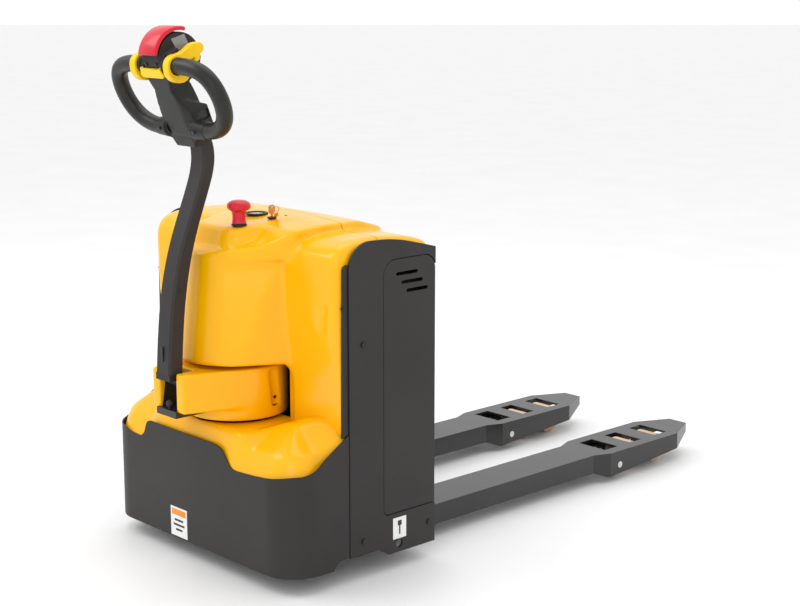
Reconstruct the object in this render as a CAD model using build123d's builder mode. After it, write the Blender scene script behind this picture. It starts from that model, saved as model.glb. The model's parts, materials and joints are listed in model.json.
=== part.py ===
"""Pedestrian electric pallet truck: drive chassis, lifting carriage with forks, steered tiller.

X runs from the tiller to the fork tips, Y across, Z up from the floor. Sizes in millimetres.
"""
import os
from math import asin, atan2, cos, degrees, hypot, radians, sin

from build123d import *

os.makedirs("parts", exist_ok=True)

# ---- driving dimensions -------------------------------------------------------------------
fork_length = 1150.0        # backrest to fork tips
fork_spread = 570.0         # over the outsides of both forks
fork_toe_width = 160.0
fork_shank_width = 120.0
fork_top = 85.0             # lowered height of the load face
fork_depth = 52.0
fork_plate = 6.0
toe_start = 750.0           # where the wide toe begins, from the backrest
toe_drop = 15.0             # how much deeper the toe starts than the shank
tip_width = 61.0
lift = 120.0

body_width = 720.0
panel_length = 270.0        # side panels, front to back
panel_top = 761.0           # at the backrest
panel_crown = 794.0         # at the highest point
panel_sheet = 6.0
skirt_sheet = 3.0
skirt_corner = 90.0
skirt_bottom = 43.0
cover_wall = 4.0

wheel_room = 20.0           # drive wheel to the deck above it
skirt_room = 24.0           # drive wheel to the front of the skirt
drive_wheel_radius = 110.0
drive_wheel_width = 70.0
roller_radius = 40.0
roller_width = 66.0
roller_spacing = 112.0
castor_radius = 50.0
castor_width = 36.0
castor_offset = 30.0

drum_radius = 125.0
drum_bottom = 357.0
drum_top = 482.0
flap_bottom = 388.0
flap_reach = 200.0          # steering axis to the front of the drum's flaps
flap_half = 61.0
drum_room = 8.0             # back of the drum to the mast
slot_half = 40.0            # gap between the flaps
nose_overhang = 13.0        # hood nose beyond the drum, at its foot
nose_high = 104.0           # and at the console ledge
nose_bottom = 490.0
ledge_height = 745.0
console_front = 806.0
console_back = 824.0
shoulder_top = 782.0
hood_bottom = 352.0
seam_reach = 167.0          # hood's rear edge to backrest

tiller_width = 54.0
head_tilt = 25.0            # degrees that the tiller head leans to the operator
head_reach = 477.0          # centre of the head's drum to backrest
head_height = 1199.0
button_radius = 70.0
running = 0.05              # radial clearance of a pin in its bore
gap = 0.5                   # side clearance between moving pieces
clear = 0.3                 # clearance between curved pieces that seat without touching

# ---- derived places -----------------------------------------------------------------------
tiller_front = head_reach + button_radius
rear = (tiller_front - fork_length) / 2      # X of the backrest, with the origin at mid length
mast_x = rear - seam_reach - 15.0
steer_x = mast_x - drum_room - drum_radius   # steering axis
skirt_front = steer_x - drive_wheel_radius - skirt_room
panel_front = rear - panel_length
half_body = body_width / 2
panel_inner = half_body - panel_sheet
inside = panel_inner - 4.0                   # half width of the chassis between the panels
fork_y = (fork_spread - fork_toe_width) / 2
fork_under = fork_top - fork_depth
tip_x = rear + fork_length
toe_x = rear + toe_start
wall_x = rear - seam_reach + 3.0             # front face of the battery box
mast_sheet = 10.0
mast_top = 600.0
deck_bottom = 2 * drive_wheel_radius + wheel_room   # turntable deck of the drive chassis
deck_sheet = 12.0
deck_top = deck_bottom + deck_sheet
ring_radius = 88.0


def save(piece, name):
    """Label a finished piece and write it."""
    piece.part.label = name
    export_step(piece.part, f"parts/{name}.step")


def corners(low, high):
    """Centre and size of a box between two corners."""
    size = tuple(high[i] - low[i] for i in range(3))
    centre = tuple((high[i] + low[i]) / 2 for i in range(3))
    return centre, size


def block(low, high, mode=Mode.ADD):
    """A box between two corners, in the part being built."""
    centre, size = corners(low, high)
    with Locations(centre):
        Box(*size, mode=mode)


def rod_y(x, y, z, radius, length, mode=Mode.ADD):
    """A cylinder along Y, centred on a point."""
    with Locations(Location((x, y, z), (90, 0, 0))):
        Cylinder(radius, length, mode=mode)


def rod_z(x, y, low, high, radius, mode=Mode.ADD):
    """A vertical cylinder between two heights."""
    with Locations((x, y, (low + high) / 2)):
        Cylinder(radius, high - low, mode=mode)


# ============================== drive chassis ==============================
rail_half = inside - 50.0                    # half width over the inner rails
castor_x = steer_x - 20.0
castor_track = rail_half - 65.0
castor_plate_top = 150.0
shoe_front = rear - 241.5
shoe_back = mast_x - gap
crank_reach = 24.0                            # crank shaft to backrest
cheek_front = rear - 52.0                    # fork heels, welded under the battery tray
cheek_top = 180.0

# lift geometry: the load wheel arm swings down while the carriage rises
arm_length = 162.0
arm_pivot_z = 45.0
rest_dip = asin((arm_pivot_z - roller_radius) / arm_length)
swing = asin((arm_pivot_z - roller_radius + lift) / arm_length) - rest_dip
lever = 24.0
rod_z_height = arm_pivot_z + lever * cos(swing / 2)
crank_z = arm_pivot_z + 2 * lever * cos(swing / 2)
crank_x = rear - crank_reach
crank_arm = lift / 2 / sin(swing / 2)
crank_pin_x = crank_x - crank_arm * cos(swing / 2)
crank_pin_z = crank_z + lift / 2
crank_pin_radius = 6.0
bracket_y = 120.0
bracket_sheet = 8.0

with BuildPart() as chassis_frame:
    with BuildSketch(Plane.XY.offset(deck_bottom)):
        with BuildLine():
            deck_front = skirt_front + skirt_sheet
            deck_half = half_body - skirt_sheet
            cut = skirt_corner
            Polyline(
                (deck_front, -deck_half + cut), (deck_front + cut, -deck_half),
                (panel_front - 4, -deck_half), (panel_front - 4, -rail_half),
                (mast_x, -rail_half), (mast_x, rail_half),
                (panel_front - 4, rail_half), (panel_front - 4, deck_half),
                (deck_front + cut, deck_half), (deck_front, deck_half - cut),
                close=True,
            )
        make_face()
    extrude(amount=deck_sheet)
    rod_z(steer_x, 0, deck_bottom - 5, deck_top + 5, 100, Mode.SUBTRACT)
    block((mast_x, -inside, cheek_top + 4), (mast_x + mast_sheet, inside, mast_top))
    for side in (-1, 1):
        web = sorted((side * rail_half, side * (rail_half + 8)))
        block((rear - 250, web[0], 120), (mast_x + mast_sheet, web[1], shoulder_top - cover_wall))
        flange = sorted((side * (rail_half + 8), side * inside))
        block((rear - 250, flange[0], 120), (rear - 242, flange[1], 700))
        block((mast_x, flange[0], 120), (mast_x + mast_sheet, flange[1], cheek_top + 4))
        block((mast_x, flange[0], mast_top), (mast_x + mast_sheet, flange[1], 700))
        block((castor_x - 48, side * castor_track - 45, castor_plate_top),
              (castor_x + 48, side * castor_track + 45, castor_plate_top + 8))
        for edge in (-41, 41):
            y = side * castor_track + edge
            block((castor_x - 48, y - 4, castor_plate_top + 8), (castor_x + 48, y + 4, deck_bottom))
        y = side * bracket_y
        block((rear - 200, y - bracket_sheet / 2, crank_pin_z - 18),
              (mast_x + mast_sheet, y + bracket_sheet / 2, deck_bottom))
        block((mast_x + mast_sheet, y - bracket_sheet / 2, crank_pin_z - 18),
              (rear - 146, y + bracket_sheet / 2, crank_pin_z + 18))
        block((rear - 200, y - bracket_sheet / 2, deck_bottom),
              (mast_x, y + bracket_sheet / 2, deck_top))
    slot_clear = crank_pin_radius + 1.0
    slot_travel = crank_arm * (1 - cos(swing / 2))
    block((crank_pin_x - slot_travel - slot_clear, -bracket_y - 10, crank_pin_z - slot_clear),
          (crank_pin_x + slot_clear, bracket_y + 10, crank_pin_z + slot_clear), Mode.SUBTRACT)
save(chassis_frame, "chassis_frame")

# front skirt: bent sheet with a raised front tab, low at both corners and rising to the panels
notch_z = 62.0
with BuildPart() as front_skirt:
    with BuildSketch(Plane.XY.offset(skirt_bottom)) as outline:
        with BuildLine():
            Polyline(
                (panel_front - 3, -half_body), (skirt_front, -half_body),
                (skirt_front, half_body), (panel_front - 3, half_body),
                close=True,
            )
        make_face()
        front_corners = outline.vertices().sort_by(Axis.X)[:2]
        fillet(front_corners, skirt_corner)
    extrude(amount=330)
    with BuildSketch(Plane.XY.offset(skirt_bottom - 1)) as inner_outline:
        with BuildLine():
            Polyline(
                (panel_front, -half_body + skirt_sheet), (skirt_front + skirt_sheet, -half_body + skirt_sheet),
                (skirt_front + skirt_sheet, half_body - skirt_sheet), (panel_front, half_body - skirt_sheet),
                close=True,
            )
        make_face()
        front_corners = inner_outline.vertices().sort_by(Axis.X)[:2]
        fillet(front_corners, skirt_corner - skirt_sheet)
    extrude(amount=340, mode=Mode.SUBTRACT)
    turn_x = skirt_front + 49
    with BuildSketch(Plane.YZ.offset(skirt_front - 20)):
        with BuildLine():
            Polyline(
                (-half_body - 5, 290), (-half_body, 290), (-290, 272), (-233, 267), (-165, 265),
                (-150, 269), (-126, 296), (-108, 310), (-85, 313), (182, 313), (196, 300), (208, 270),
                (253, 268), (290, 273), (half_body, 290), (half_body + 5, 290),
                (half_body + 5, 400), (-half_body - 5, 400),
                close=True,
            )
        make_face()
    extrude(amount=turn_x - skirt_front + 20, mode=Mode.SUBTRACT)
    with BuildSketch(Plane.XZ.offset(-half_body - 10)):
        with BuildLine():
            Polyline(
                (turn_x, 290), (turn_x + 30, 296), (turn_x + 60, 314), (panel_front - 3, 356),
                (panel_front + 5, 356), (panel_front + 5, 400), (turn_x, 400),
                close=True,
            )
        make_face()
    extrude(amount=body_width + 20, mode=Mode.SUBTRACT)
    block((rear - 309, -half_body - 5, 0), (rear, half_body + 5, notch_z), Mode.SUBTRACT)
save(front_skirt, "front_skirt")

shoulder_foot_x = rear - 280.0              # front of the hood's shoulders, low down
shoulder_x = rear - 300.0

# apron: moulded lower cover between the skirt and the drum
apron_foot = 262.0
apron_top = 368.0
apron_front = skirt_front + skirt_sheet + 1.0
apron_half = half_body - skirt_sheet - 1.0
apron_slope = 56.0
crest_half = half_body - 60.0


def apron_sections(inset):
    """Foot and crest outlines of the apron, or of its hollow when inset by the wall."""
    rise = -inset if inset else 0.0
    drop = 1.0 if inset else 0.0
    back = shoulder_foot_x - 3 + drop
    with BuildSketch(Plane.XY.offset(apron_foot - drop)) as foot:
        with BuildLine():
            Polyline(
                (apron_front + inset, -apron_half + inset), (back, -apron_half + inset),
                (back, apron_half - inset), (apron_front + inset, apron_half - inset),
                close=True,
            )
        make_face()
        fillet(foot.vertices().sort_by(Axis.X)[:2], skirt_corner)
    crest_front = apron_front + apron_slope + inset
    with BuildSketch(Plane.XY.offset(apron_top + rise)) as crest:
        with BuildLine():
            Polyline(
                (crest_front, -crest_half + inset), (back, -crest_half + inset),
                (back, crest_half - inset), (crest_front, crest_half - inset),
                close=True,
            )
        make_face()
        fillet(crest.vertices().sort_by(Axis.X)[:2], skirt_corner - 20)
    return [foot.sketch, crest.sketch]


well_radius = drum_radius + 17.0
well_floor = 347.0
well_hole = drum_radius - 7.0
with BuildPart() as apron_cover:
    loft(sections=apron_sections(0))
    loft(sections=apron_sections(cover_wall), mode=Mode.SUBTRACT)
    rod_z(steer_x, 0, well_floor - cover_wall, apron_top - 1, well_radius)
    rod_z(steer_x, 0, well_floor, apron_top + 20, well_radius - cover_wall, Mode.SUBTRACT)
    rod_z(steer_x, 0, well_floor - 20, apron_top, well_hole, Mode.SUBTRACT)
    block((mast_x - 0.5, -half_body, 0), (rear, half_body, 500), Mode.SUBTRACT)
save(apron_cover, "apron_cover")

# hood: shell with a round nose, broad shoulders and a raised console
seam_x = rear - seam_reach
mouth_half = 172.0
console_half = 92.0


def hood_sections(inset):
    """Shoulder profile, nose outlines, nose root and console profile, inset by a wall."""
    half = inside + 1 - inset
    with BuildSketch(Plane.XZ.offset(-half)) as shoulders:
        with BuildLine():
            Polyline(
                (shoulder_foot_x + inset, hood_bottom - inset), (shoulder_x + inset, 600),
                (shoulder_x + inset, 735), (shoulder_x + 40, shoulder_top - inset),
                (seam_x + inset, shoulder_top - inset), (seam_x + inset, hood_bottom - inset),
                close=True,
            )
        make_face()
    with BuildSketch(Plane.XY.offset(nose_bottom - inset)) as nose_foot:
        with Locations((steer_x, 0)):
            Circle(drum_radius + nose_overhang - inset)
    with BuildSketch(Plane.XY.offset(ledge_height - inset)) as nose_head:
        with Locations((steer_x, 0)):
            Circle(nose_high - inset)
    with BuildSketch(Plane.XZ.offset(-console_half + inset)) as console:
        with BuildLine():
            Polyline(
                (steer_x - 78 + inset, ledge_height - 20), (steer_x - 70 + inset, console_front - inset),
                (rear - 205, console_back - inset), (seam_x + inset, 812 - inset),
                (seam_x + inset, ledge_height - 20),
                close=True,
            )
        make_face()
    return shoulders.sketch, [nose_foot.sketch, nose_head.sketch], console.sketch


estop_x = steer_x - 30.0
estop_y = -62.0
gauge_x = rear - 246.0
gauge_radius = 25.0
key_x = rear - 258.0
key_y = -74.0


def console_z(x):
    """Height of the console's top face at an X."""
    start, end = steer_x - 70, rear - 205
    return console_front + (console_back - console_front) * (x - start) / (end - start)


estop_z = console_z(estop_x)
gauge_z = console_z(gauge_x)
key_z = console_z(key_x)

with BuildPart() as hood:
    for inset, mode in ((0, Mode.ADD), (cover_wall, Mode.SUBTRACT)):
        shoulders, nose, console = hood_sections(inset)
        extrude(shoulders, amount=2 * (inside + 1 - inset), mode=mode)
        loft(sections=nose, mode=mode)
        extrude(console, amount=2 * (console_half - inset), mode=mode)
    block((rear - 420, -mouth_half, hood_bottom - 20), (rear - 262, mouth_half, nose_bottom - 2), Mode.SUBTRACT)
    rod_z(steer_x, 0, hood_bottom - 20, nose_bottom + 0.5, drum_radius + 7, Mode.SUBTRACT)
    for side in (-1, 1):
        low, high = sorted((side * (rail_half - 5), side * (inside + 2)))
        block((rear - 258, low, hood_bottom - 1), (seam_x + 10, high, shoulder_top - 40), Mode.SUBTRACT)
    rod_z(estop_x, estop_y, estop_z - 30, estop_z + 30, 15, Mode.SUBTRACT)
    rod_z(gauge_x, 0, gauge_z - 30, gauge_z + 30, gauge_radius - 2, Mode.SUBTRACT)
    rod_z(key_x, key_y, key_z - 30, key_z + 30, 9, Mode.SUBTRACT)
save(hood, "hood")

# gauge, key switch and emergency stop on the console
with BuildPart() as gauge_bezel:
    rod_z(gauge_x, 0, gauge_z + 2.5, gauge_z + 5, gauge_radius + 3)
    rod_z(gauge_x, 0, gauge_z - 22, gauge_z + 2.5, gauge_radius - 3)
    rod_z(gauge_x, 0, gauge_z + 1, gauge_z + 5.5, gauge_radius - 5, Mode.SUBTRACT)
save(gauge_bezel, "gauge_bezel")

with BuildPart() as gauge_lens:
    rod_z(gauge_x, 0, gauge_z + 1, gauge_z + 4, gauge_radius - 5.2)
save(gauge_lens, "gauge_lens")

key_bore = 3.0
with BuildPart() as key_switch:
    rod_z(key_x, key_y, key_z - 26, key_z + 2.2, 8)
    rod_z(key_x, key_y, key_z + 2.2, key_z + 5, 11)
    rod_z(key_x, key_y, key_z - 16, key_z + 6, key_bore, Mode.SUBTRACT)
save(key_switch, "key_switch")

with BuildPart() as key:
    rod_z(key_x, key_y, key_z - 14, key_z + 8, key_bore - running)
    block((key_x - 3, key_y - 1, key_z + 8), (key_x + 3, key_y + 1, key_z + 14))
    block((key_x - 9, key_y - 1.5, key_z + 14), (key_x + 9, key_y + 1.5, key_z + 34))
    rod_y(key_x, key_y, key_z + 29, 3, 10, Mode.SUBTRACT)
save(key, "key")

estop_bore = 8.0
estop_travel = 6.0
with BuildPart() as estop_switch:
    rod_z(estop_x, estop_y, estop_z - 45, estop_z + 2, 14)
    rod_z(estop_x, estop_y, estop_z + 2, estop_z + 5, 18)
    rod_z(estop_x, estop_y, estop_z - 30, estop_z + 6, estop_bore, Mode.SUBTRACT)
save(estop_switch, "estop_switch")

with BuildPart() as estop_mushroom:
    with BuildSketch(Plane.XZ.offset(-estop_y)):
        with BuildLine():
            Polyline(
                (estop_x, estop_z - 22), (estop_x + estop_bore - running, estop_z - 22),
                (estop_x + estop_bore - running, estop_z + 12), (estop_x + 14, estop_z + 12),
                (estop_x + 17, estop_z + 34), (estop_x + 28, estop_z + 40), (estop_x + 28, estop_z + 52),
                (estop_x + 18, estop_z + 59), (estop_x, estop_z + 61),
                close=True,
            )
        make_face()
    revolve(axis=Axis((estop_x, estop_y, 0), (0, 0, 1)))
save(estop_mushroom, "estop_mushroom")

# slewing ring, hydraulic unit, controller and lift cylinder
with BuildPart() as slewing_ring:
    rod_z(steer_x, 0, deck_top, deck_top + 12, 120)
    rod_z(steer_x, 0, deck_top - 5, deck_top + 15, ring_radius + 0.4, Mode.SUBTRACT)
save(slewing_ring, "slewing_ring")

cylinder_x = rear - 215.0
cylinder_y = rail_half - 110.0
cylinder_bore = 18.0
cylinder_top = 480.0
lift_pad_z = 616.0
with BuildPart() as lift_cylinder:
    rod_z(cylinder_x, cylinder_y, deck_top, cylinder_top, 26)
    rod_z(cylinder_x, cylinder_y, deck_top + 15, cylinder_top + 1, cylinder_bore, Mode.SUBTRACT)
save(lift_cylinder, "lift_cylinder")

pump_x = rear - 232.0
pump_y = 85.0 - rail_half
with BuildPart() as hydraulic_pump:
    rod_z(pump_x, pump_y, deck_top + 70, 470, 42)
    block((pump_x - 48, pump_y - 48, deck_top), (pump_x + 44, pump_y + 48, deck_top + 70))
save(hydraulic_pump, "hydraulic_pump")

with BuildPart() as oil_tank:
    block((mast_x - 64, 8 - rail_half, 478), (mast_x, -160, mast_top))
save(oil_tank, "oil_tank")

with BuildPart() as controller:
    block((mast_x - 66, -150, 505), (mast_x, 150, 590))
    for fin in range(9):
        y = -120 + 30 * fin
        block((mast_x - 66.5, y - 9, 504), (mast_x - 54, y + 9, 591), Mode.SUBTRACT)
save(controller, "controller")

# castors: plate and fork swivel, wheel turns
castor_swivel_top = castor_plate_top - 8.5
sides = {"left": 1, "right": -1}
with BuildPart() as castor_plates:
    for y in (-castor_track, castor_track):
        block((castor_x - 42, y - 36, castor_plate_top - 6), (castor_x + 42, y + 36, castor_plate_top))
        rod_z(castor_x, y, castor_plate_top - 24, castor_plate_top - 6, 7)
save(castor_plates, "castor_plates")

for word, side in sides.items():
    y = side * castor_track
    with BuildPart() as castor_fork:
        rod_z(castor_x, y, castor_swivel_top - 14, castor_swivel_top, 30)
        for cheek in (-1, 1):
            inner = castor_width / 2 + 1.0
            low, high = sorted((y + cheek * inner, y + cheek * (inner + 4)))
            with BuildSketch(Plane.XZ.offset(-low)):
                with BuildLine():
                    Polyline(
                        (castor_x - 24, castor_swivel_top - 10), (castor_x + 24, castor_swivel_top - 10),
                        (castor_x + castor_offset + 12, castor_radius - 10),
                        (castor_x + castor_offset - 12, castor_radius - 12),
                        close=True,
                    )
                make_face()
            extrude(amount=-(high - low))
        rod_z(castor_x, y, castor_swivel_top - 20, castor_swivel_top + 1, 7 + running, Mode.SUBTRACT)
        rod_y(castor_x + castor_offset, y, castor_radius, 6, castor_width + 14)
    save(castor_fork, f"castor_fork_{word}")

    with BuildPart() as castor_wheel:
        rod_y(castor_x + castor_offset, y, castor_radius, castor_radius, castor_width)
        fillet(castor_wheel.edges().filter_by(GeomType.CIRCLE), 5)
        rod_y(castor_x + castor_offset, y, castor_radius, 6 + running, castor_width + 2, Mode.SUBTRACT)
    save(castor_wheel, f"castor_wheel_{word}")

# ============================== steered drive unit ==============================
axle_z = drive_wheel_radius
shaft_radius = 18.0
leg_top = deck_bottom - 14.0
with BuildPart() as gearbox_housing:
    with BuildSketch(Plane.XZ.offset(-40)) as leg:
        with Locations((steer_x, axle_z)):
            Circle(56)
        with BuildLine():
            Polyline(
                (steer_x - 56, axle_z), (steer_x + 56, axle_z), (steer_x + 62, leg_top), (steer_x - 62, leg_top),
                close=True,
            )
        make_face()
    extrude(amount=-38)
    rod_z(steer_x, 0, leg_top, leg_top + 12, ring_radius - 2)
    rod_z(steer_x, 0, leg_top + 12, deck_top + 12, ring_radius)
    rod_z(steer_x, 0, leg_top + 12, deck_top + 13, 60, Mode.SUBTRACT)
    rod_y(steer_x, 10, axle_z, shaft_radius, 60)
save(gearbox_housing, "gearbox_housing")

motor_radius = 64.0
with BuildPart() as drive_motor:
    rod_z(steer_x, 0, deck_top + 12, deck_top + 20, 84)
    rod_z(steer_x, 0, deck_top + 20, 432, motor_radius)
save(drive_motor, "drive_motor")

with BuildPart() as motor_brake:
    rod_z(steer_x, 0, 432, 466, 48)
save(motor_brake, "motor_brake")

pivot_x = steer_x - 165.0
pivot_z = 455.0
pivot_radius = 8.0
yoke_floor = 376.0
yoke_arm = 16.0
wall = 3.0                                   # sheet of the drum cover
with BuildPart() as tiller_yoke:
    rod_z(steer_x, 0, deck_top + 20, yoke_floor + yoke_arm, 76)
    rod_z(steer_x, 0, yoke_floor, flap_bottom - 2, drum_radius - wall - clear)
    block((pivot_x - 40, -38, yoke_floor), (steer_x, 38, yoke_floor + yoke_arm))
    for side in (-1, 1):
        low, high = sorted((side * 30, side * 38))
        with BuildSketch(Plane.XZ.offset(-low)) as ear:
            with Locations((pivot_x, pivot_z)):
                Circle(18)
            with BuildLine():
                Polyline(
                    (pivot_x - 18, pivot_z), (pivot_x + 18, pivot_z), (pivot_x + 44, yoke_floor + 4),
                    (pivot_x - 30, yoke_floor + 4),
                    close=True,
                )
            make_face()
        extrude(amount=-(high - low))
    rod_z(steer_x, 0, deck_top, yoke_floor + 30, motor_radius + 0.5, Mode.SUBTRACT)
    rod_y(pivot_x, 0, pivot_z, pivot_radius, 90, Mode.SUBTRACT)
save(tiller_yoke, "tiller_yoke")

with BuildPart() as pivot_pin:
    rod_y(pivot_x, 0, pivot_z, pivot_radius, 76)
save(pivot_pin, "pivot_pin")

stop_x = pivot_x - 30.0
with BuildPart() as stop_buffer:
    rod_z(stop_x, 0, yoke_floor + yoke_arm, 400, 4)
    with Locations((stop_x, 0, 404)):
        Sphere(9)
save(stop_buffer, "stop_buffer")

def drum_plan(inset):
    """Round drum with two flaps reaching forward, in plan."""
    radius = drum_radius - inset
    reach = flap_reach - inset
    half = flap_half - inset
    touch = atan2(half, reach) + acos_of(radius / hypot(reach, half))
    with BuildSketch(Plane.XY.offset(flap_bottom)) as plan:
        with Locations((steer_x, 0)):
            Circle(radius)
        with BuildLine():
            Polyline(
                (steer_x - reach, -half), (steer_x - radius * cos(touch), -radius * sin(touch)),
                (steer_x - radius * cos(touch), radius * sin(touch)), (steer_x - reach, half),
                close=True,
            )
        make_face()
    return plan.sketch


def acos_of(ratio):
    """Angle whose cosine is the ratio."""
    return atan2((1 - ratio * ratio) ** 0.5, ratio)


slot_end = steer_x - drum_radius + 17.0
with BuildPart() as drum_cover:
    extrude(drum_plan(0), amount=drum_top - flap_bottom)
    fillet(drum_cover.faces().sort_by(Axis.Z)[-1].edges(), 6)
    rod_z(steer_x, 0, drum_bottom, drum_top - 10, drum_radius)
    extrude(drum_plan(wall), amount=drum_top - flap_bottom - wall, mode=Mode.SUBTRACT)
    rod_z(steer_x, 0, drum_bottom - 1, drum_top - wall, drum_radius - wall, Mode.SUBTRACT)
    for side in (-1, 1):
        low, high = sorted((side * slot_half, side * (slot_half + wall)))
        block((steer_x - flap_reach + 1, low, flap_bottom), (slot_end, high, drum_top - 1))
    block((steer_x - flap_reach - 10, -slot_half, drum_bottom - 5), (slot_end, slot_half, drum_top + 5),
          Mode.SUBTRACT)
save(drum_cover, "drum_cover")

hub_radius = 78.0
with BuildPart() as drive_wheel_hub:
    rod_y(steer_x, 0, axle_z, hub_radius, drive_wheel_width - 4)
    rod_y(steer_x, -drive_wheel_width / 2, axle_z, hub_radius - 18, 30, Mode.SUBTRACT)
    rod_y(steer_x, 0, axle_z, shaft_radius + running, 100, Mode.SUBTRACT)
save(drive_wheel_hub, "drive_wheel_hub")

with BuildPart() as drive_wheel_tyre:
    rod_y(steer_x, 0, axle_z, drive_wheel_radius, drive_wheel_width)
    fillet(drive_wheel_tyre.edges().filter_by(GeomType.CIRCLE), 8)
    rod_y(steer_x, 0, axle_z, hub_radius, 100, Mode.SUBTRACT)
save(drive_wheel_tyre, "drive_wheel_tyre")

# ============================== tiller ==============================
arm_half = tiller_width / 2
arm_foot = 478.0
arm_front = steer_x - 213.0


def arm_points():
    """Front and back edges of the bent arm, from its foot to the head."""
    front = [(arm_front, arm_foot), (arm_front + 10, 600), (arm_front + 26, 700), (arm_front + 56, 800),
             (arm_front + 96, 900), (arm_front + 111, 950), (arm_front + 106, 1010)]
    back = [(arm_front + 41, arm_foot), (arm_front + 50, 600), (arm_front + 65, 700), (arm_front + 92, 800),
            (arm_front + 130, 900), (arm_front + 145, 950), (arm_front + 140, 1010)]
    return front, back


with BuildPart() as tiller_arm:
    front_line, back_line = arm_points()
    with BuildSketch(Plane.XZ.offset(-arm_half)):
        with BuildLine():
            Spline(*front_line)
            Line(front_line[-1], back_line[-1])
            Spline(*back_line[::-1])
            Line(back_line[0], front_line[0])
        make_face()
    extrude(amount=tiller_width)
    side_edges = tiller_arm.edges().filter_by(GeomType.BSPLINE)
    chamfer(side_edges, 5)
save(tiller_arm, "tiller_arm")

lug_half = 26.0
with BuildPart() as arm_foot_cap:
    block((arm_front + 1, -arm_half, arm_foot - 16), (arm_front + 41, arm_half, arm_foot))
    with BuildSketch(Plane.XZ.offset(-lug_half)):
        with Locations((pivot_x, pivot_z)):
            Circle(17)
        with BuildLine():
            Polyline(
                (pivot_x - 17, pivot_z), (pivot_x + 17, pivot_z), (arm_front + 41, arm_foot),
                (arm_front + 10, arm_foot),
                close=True,
            )
        make_face()
    extrude(amount=2 * lug_half)
    rod_y(pivot_x, 0, pivot_z, pivot_radius + running, 80, Mode.SUBTRACT)
save(arm_foot_cap, "arm_foot_cap")

# head: wedge housing on a leaning plane, rounded drum end, two handle loops
lean = radians(head_tilt)
head_x = rear - head_reach
loop_forward = 17.0                           # loops to the centre of the drum end
loop_centre = (head_x - loop_forward, 0, head_height - 60)
along = (-sin(lean), 0, cos(lean))
facing = (cos(lean), 0, sin(lean))
head_plane = Plane(origin=loop_centre, x_dir=(0, 1, 0), z_dir=facing)
head_half = 31.0
shoulder_half = 60.0
drum_end_radius = 57.0
tube_radius = 18.0
grip_level = 46.0
foot_level = -106.0
wedge_front = 15.0                            # wedge in front of the loops
wedge_depth = 60.0


def on_head(y, level, depth):
    """A point in the leaning plane of the head."""
    return tuple(loop_centre[i] + (0, y, 0)[i] + level * along[i] + depth * facing[i] for i in range(3))


press_angle = radians(115)                    # the way the red button faces
press = (cos(press_angle), 0, sin(press_angle))
stem_y = 18.0


def stem_base(y, radius):
    """Where a button stem starts, at a radius from the centre of the drum end."""
    return head_x + radius * press[0], y, head_height + radius * press[2]


with BuildPart() as head_housing:
    with BuildSketch(head_plane.offset(-wedge_front)):
        with BuildLine():
            Polyline(
                (-head_half, 62), (-head_half, -20), (-shoulder_half, -68), (-shoulder_half, -128),
                (-36, -150), (36, -150), (shoulder_half, -128), (shoulder_half, -68), (head_half, -20),
                (head_half, 62),
                close=True,
            )
        make_face()
    extrude(amount=wedge_depth)
    rod_y(head_x, 0, head_height, drum_end_radius, 2 * head_half)
    for y in (-stem_y, stem_y):
        with Locations(Plane(origin=stem_base(y, 34), z_dir=press)):
            Cylinder(4 + running, 40, align=(Align.CENTER, Align.CENTER, Align.MIN), mode=Mode.SUBTRACT)
    add(tiller_arm.part, mode=Mode.SUBTRACT)
save(head_housing, "head_housing")

with BuildPart() as handle_loops:
    for side in (-1, 1):
        with BuildLine(head_plane) as path:
            FilletPolyline(
                (side * head_half, grip_level), (side * 134, grip_level), (side * 176, 6),
                (side * 172, -62), (side * 126, foot_level), (side * shoulder_half, foot_level),
                radius=30,
            )
        start = on_head(side * head_half, grip_level, 0)
        with BuildSketch(Plane(origin=start, z_dir=(0, side, 0))) as tube:
            Circle(tube_radius)
        sweep(tube.sketch, path=path.line)
save(handle_loops, "handle_loops")

# throttle: a ring on each grip bar with two thumb tabs
ring_outer = 27.0
ring_start = head_half + 3.0
with BuildPart() as throttle:
    for side in (-1, 1):
        start = on_head(side * (ring_start + 11), grip_level, 0)
        with BuildSketch(Plane(origin=start, x_dir=facing, z_dir=(0, -1, 0))) as tab:
            Circle(ring_outer)
            with Locations((20, 28)):
                Rectangle(12, 40, rotation=-30)
            with Locations((-16, -26)):
                Rectangle(12, 30, rotation=-20)
            Circle(tube_radius + gap, mode=Mode.SUBTRACT)
        extrude(tab.sketch, amount=11, both=True)
save(throttle, "throttle")

# red reverse button across the drum end, with two guide stems
button_half = 33.0
button_inner = 64.5
with BuildPart() as belly_button:
    with BuildSketch(Plane.XZ.offset(-button_half)):
        with Locations((head_x, head_height)):
            Circle(button_radius)
            Circle(button_inner, mode=Mode.SUBTRACT)
        with BuildLine():
            Polyline(
                (head_x, head_height), (head_x + 130 * cos(radians(40)), head_height + 130 * sin(radians(40))),
                (head_x + 160, head_height - 160), (head_x - 160, head_height - 160),
                (head_x - 130, head_height),
                close=True,
            )
        make_face(mode=Mode.SUBTRACT)
    extrude(amount=2 * button_half)
    for y in (-stem_y, stem_y):
        with Locations(Plane(origin=stem_base(y, 42), z_dir=press)):
            Cylinder(4, 24, align=(Align.CENTER, Align.CENTER, Align.MIN))
save(belly_button, "belly_button")

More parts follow.
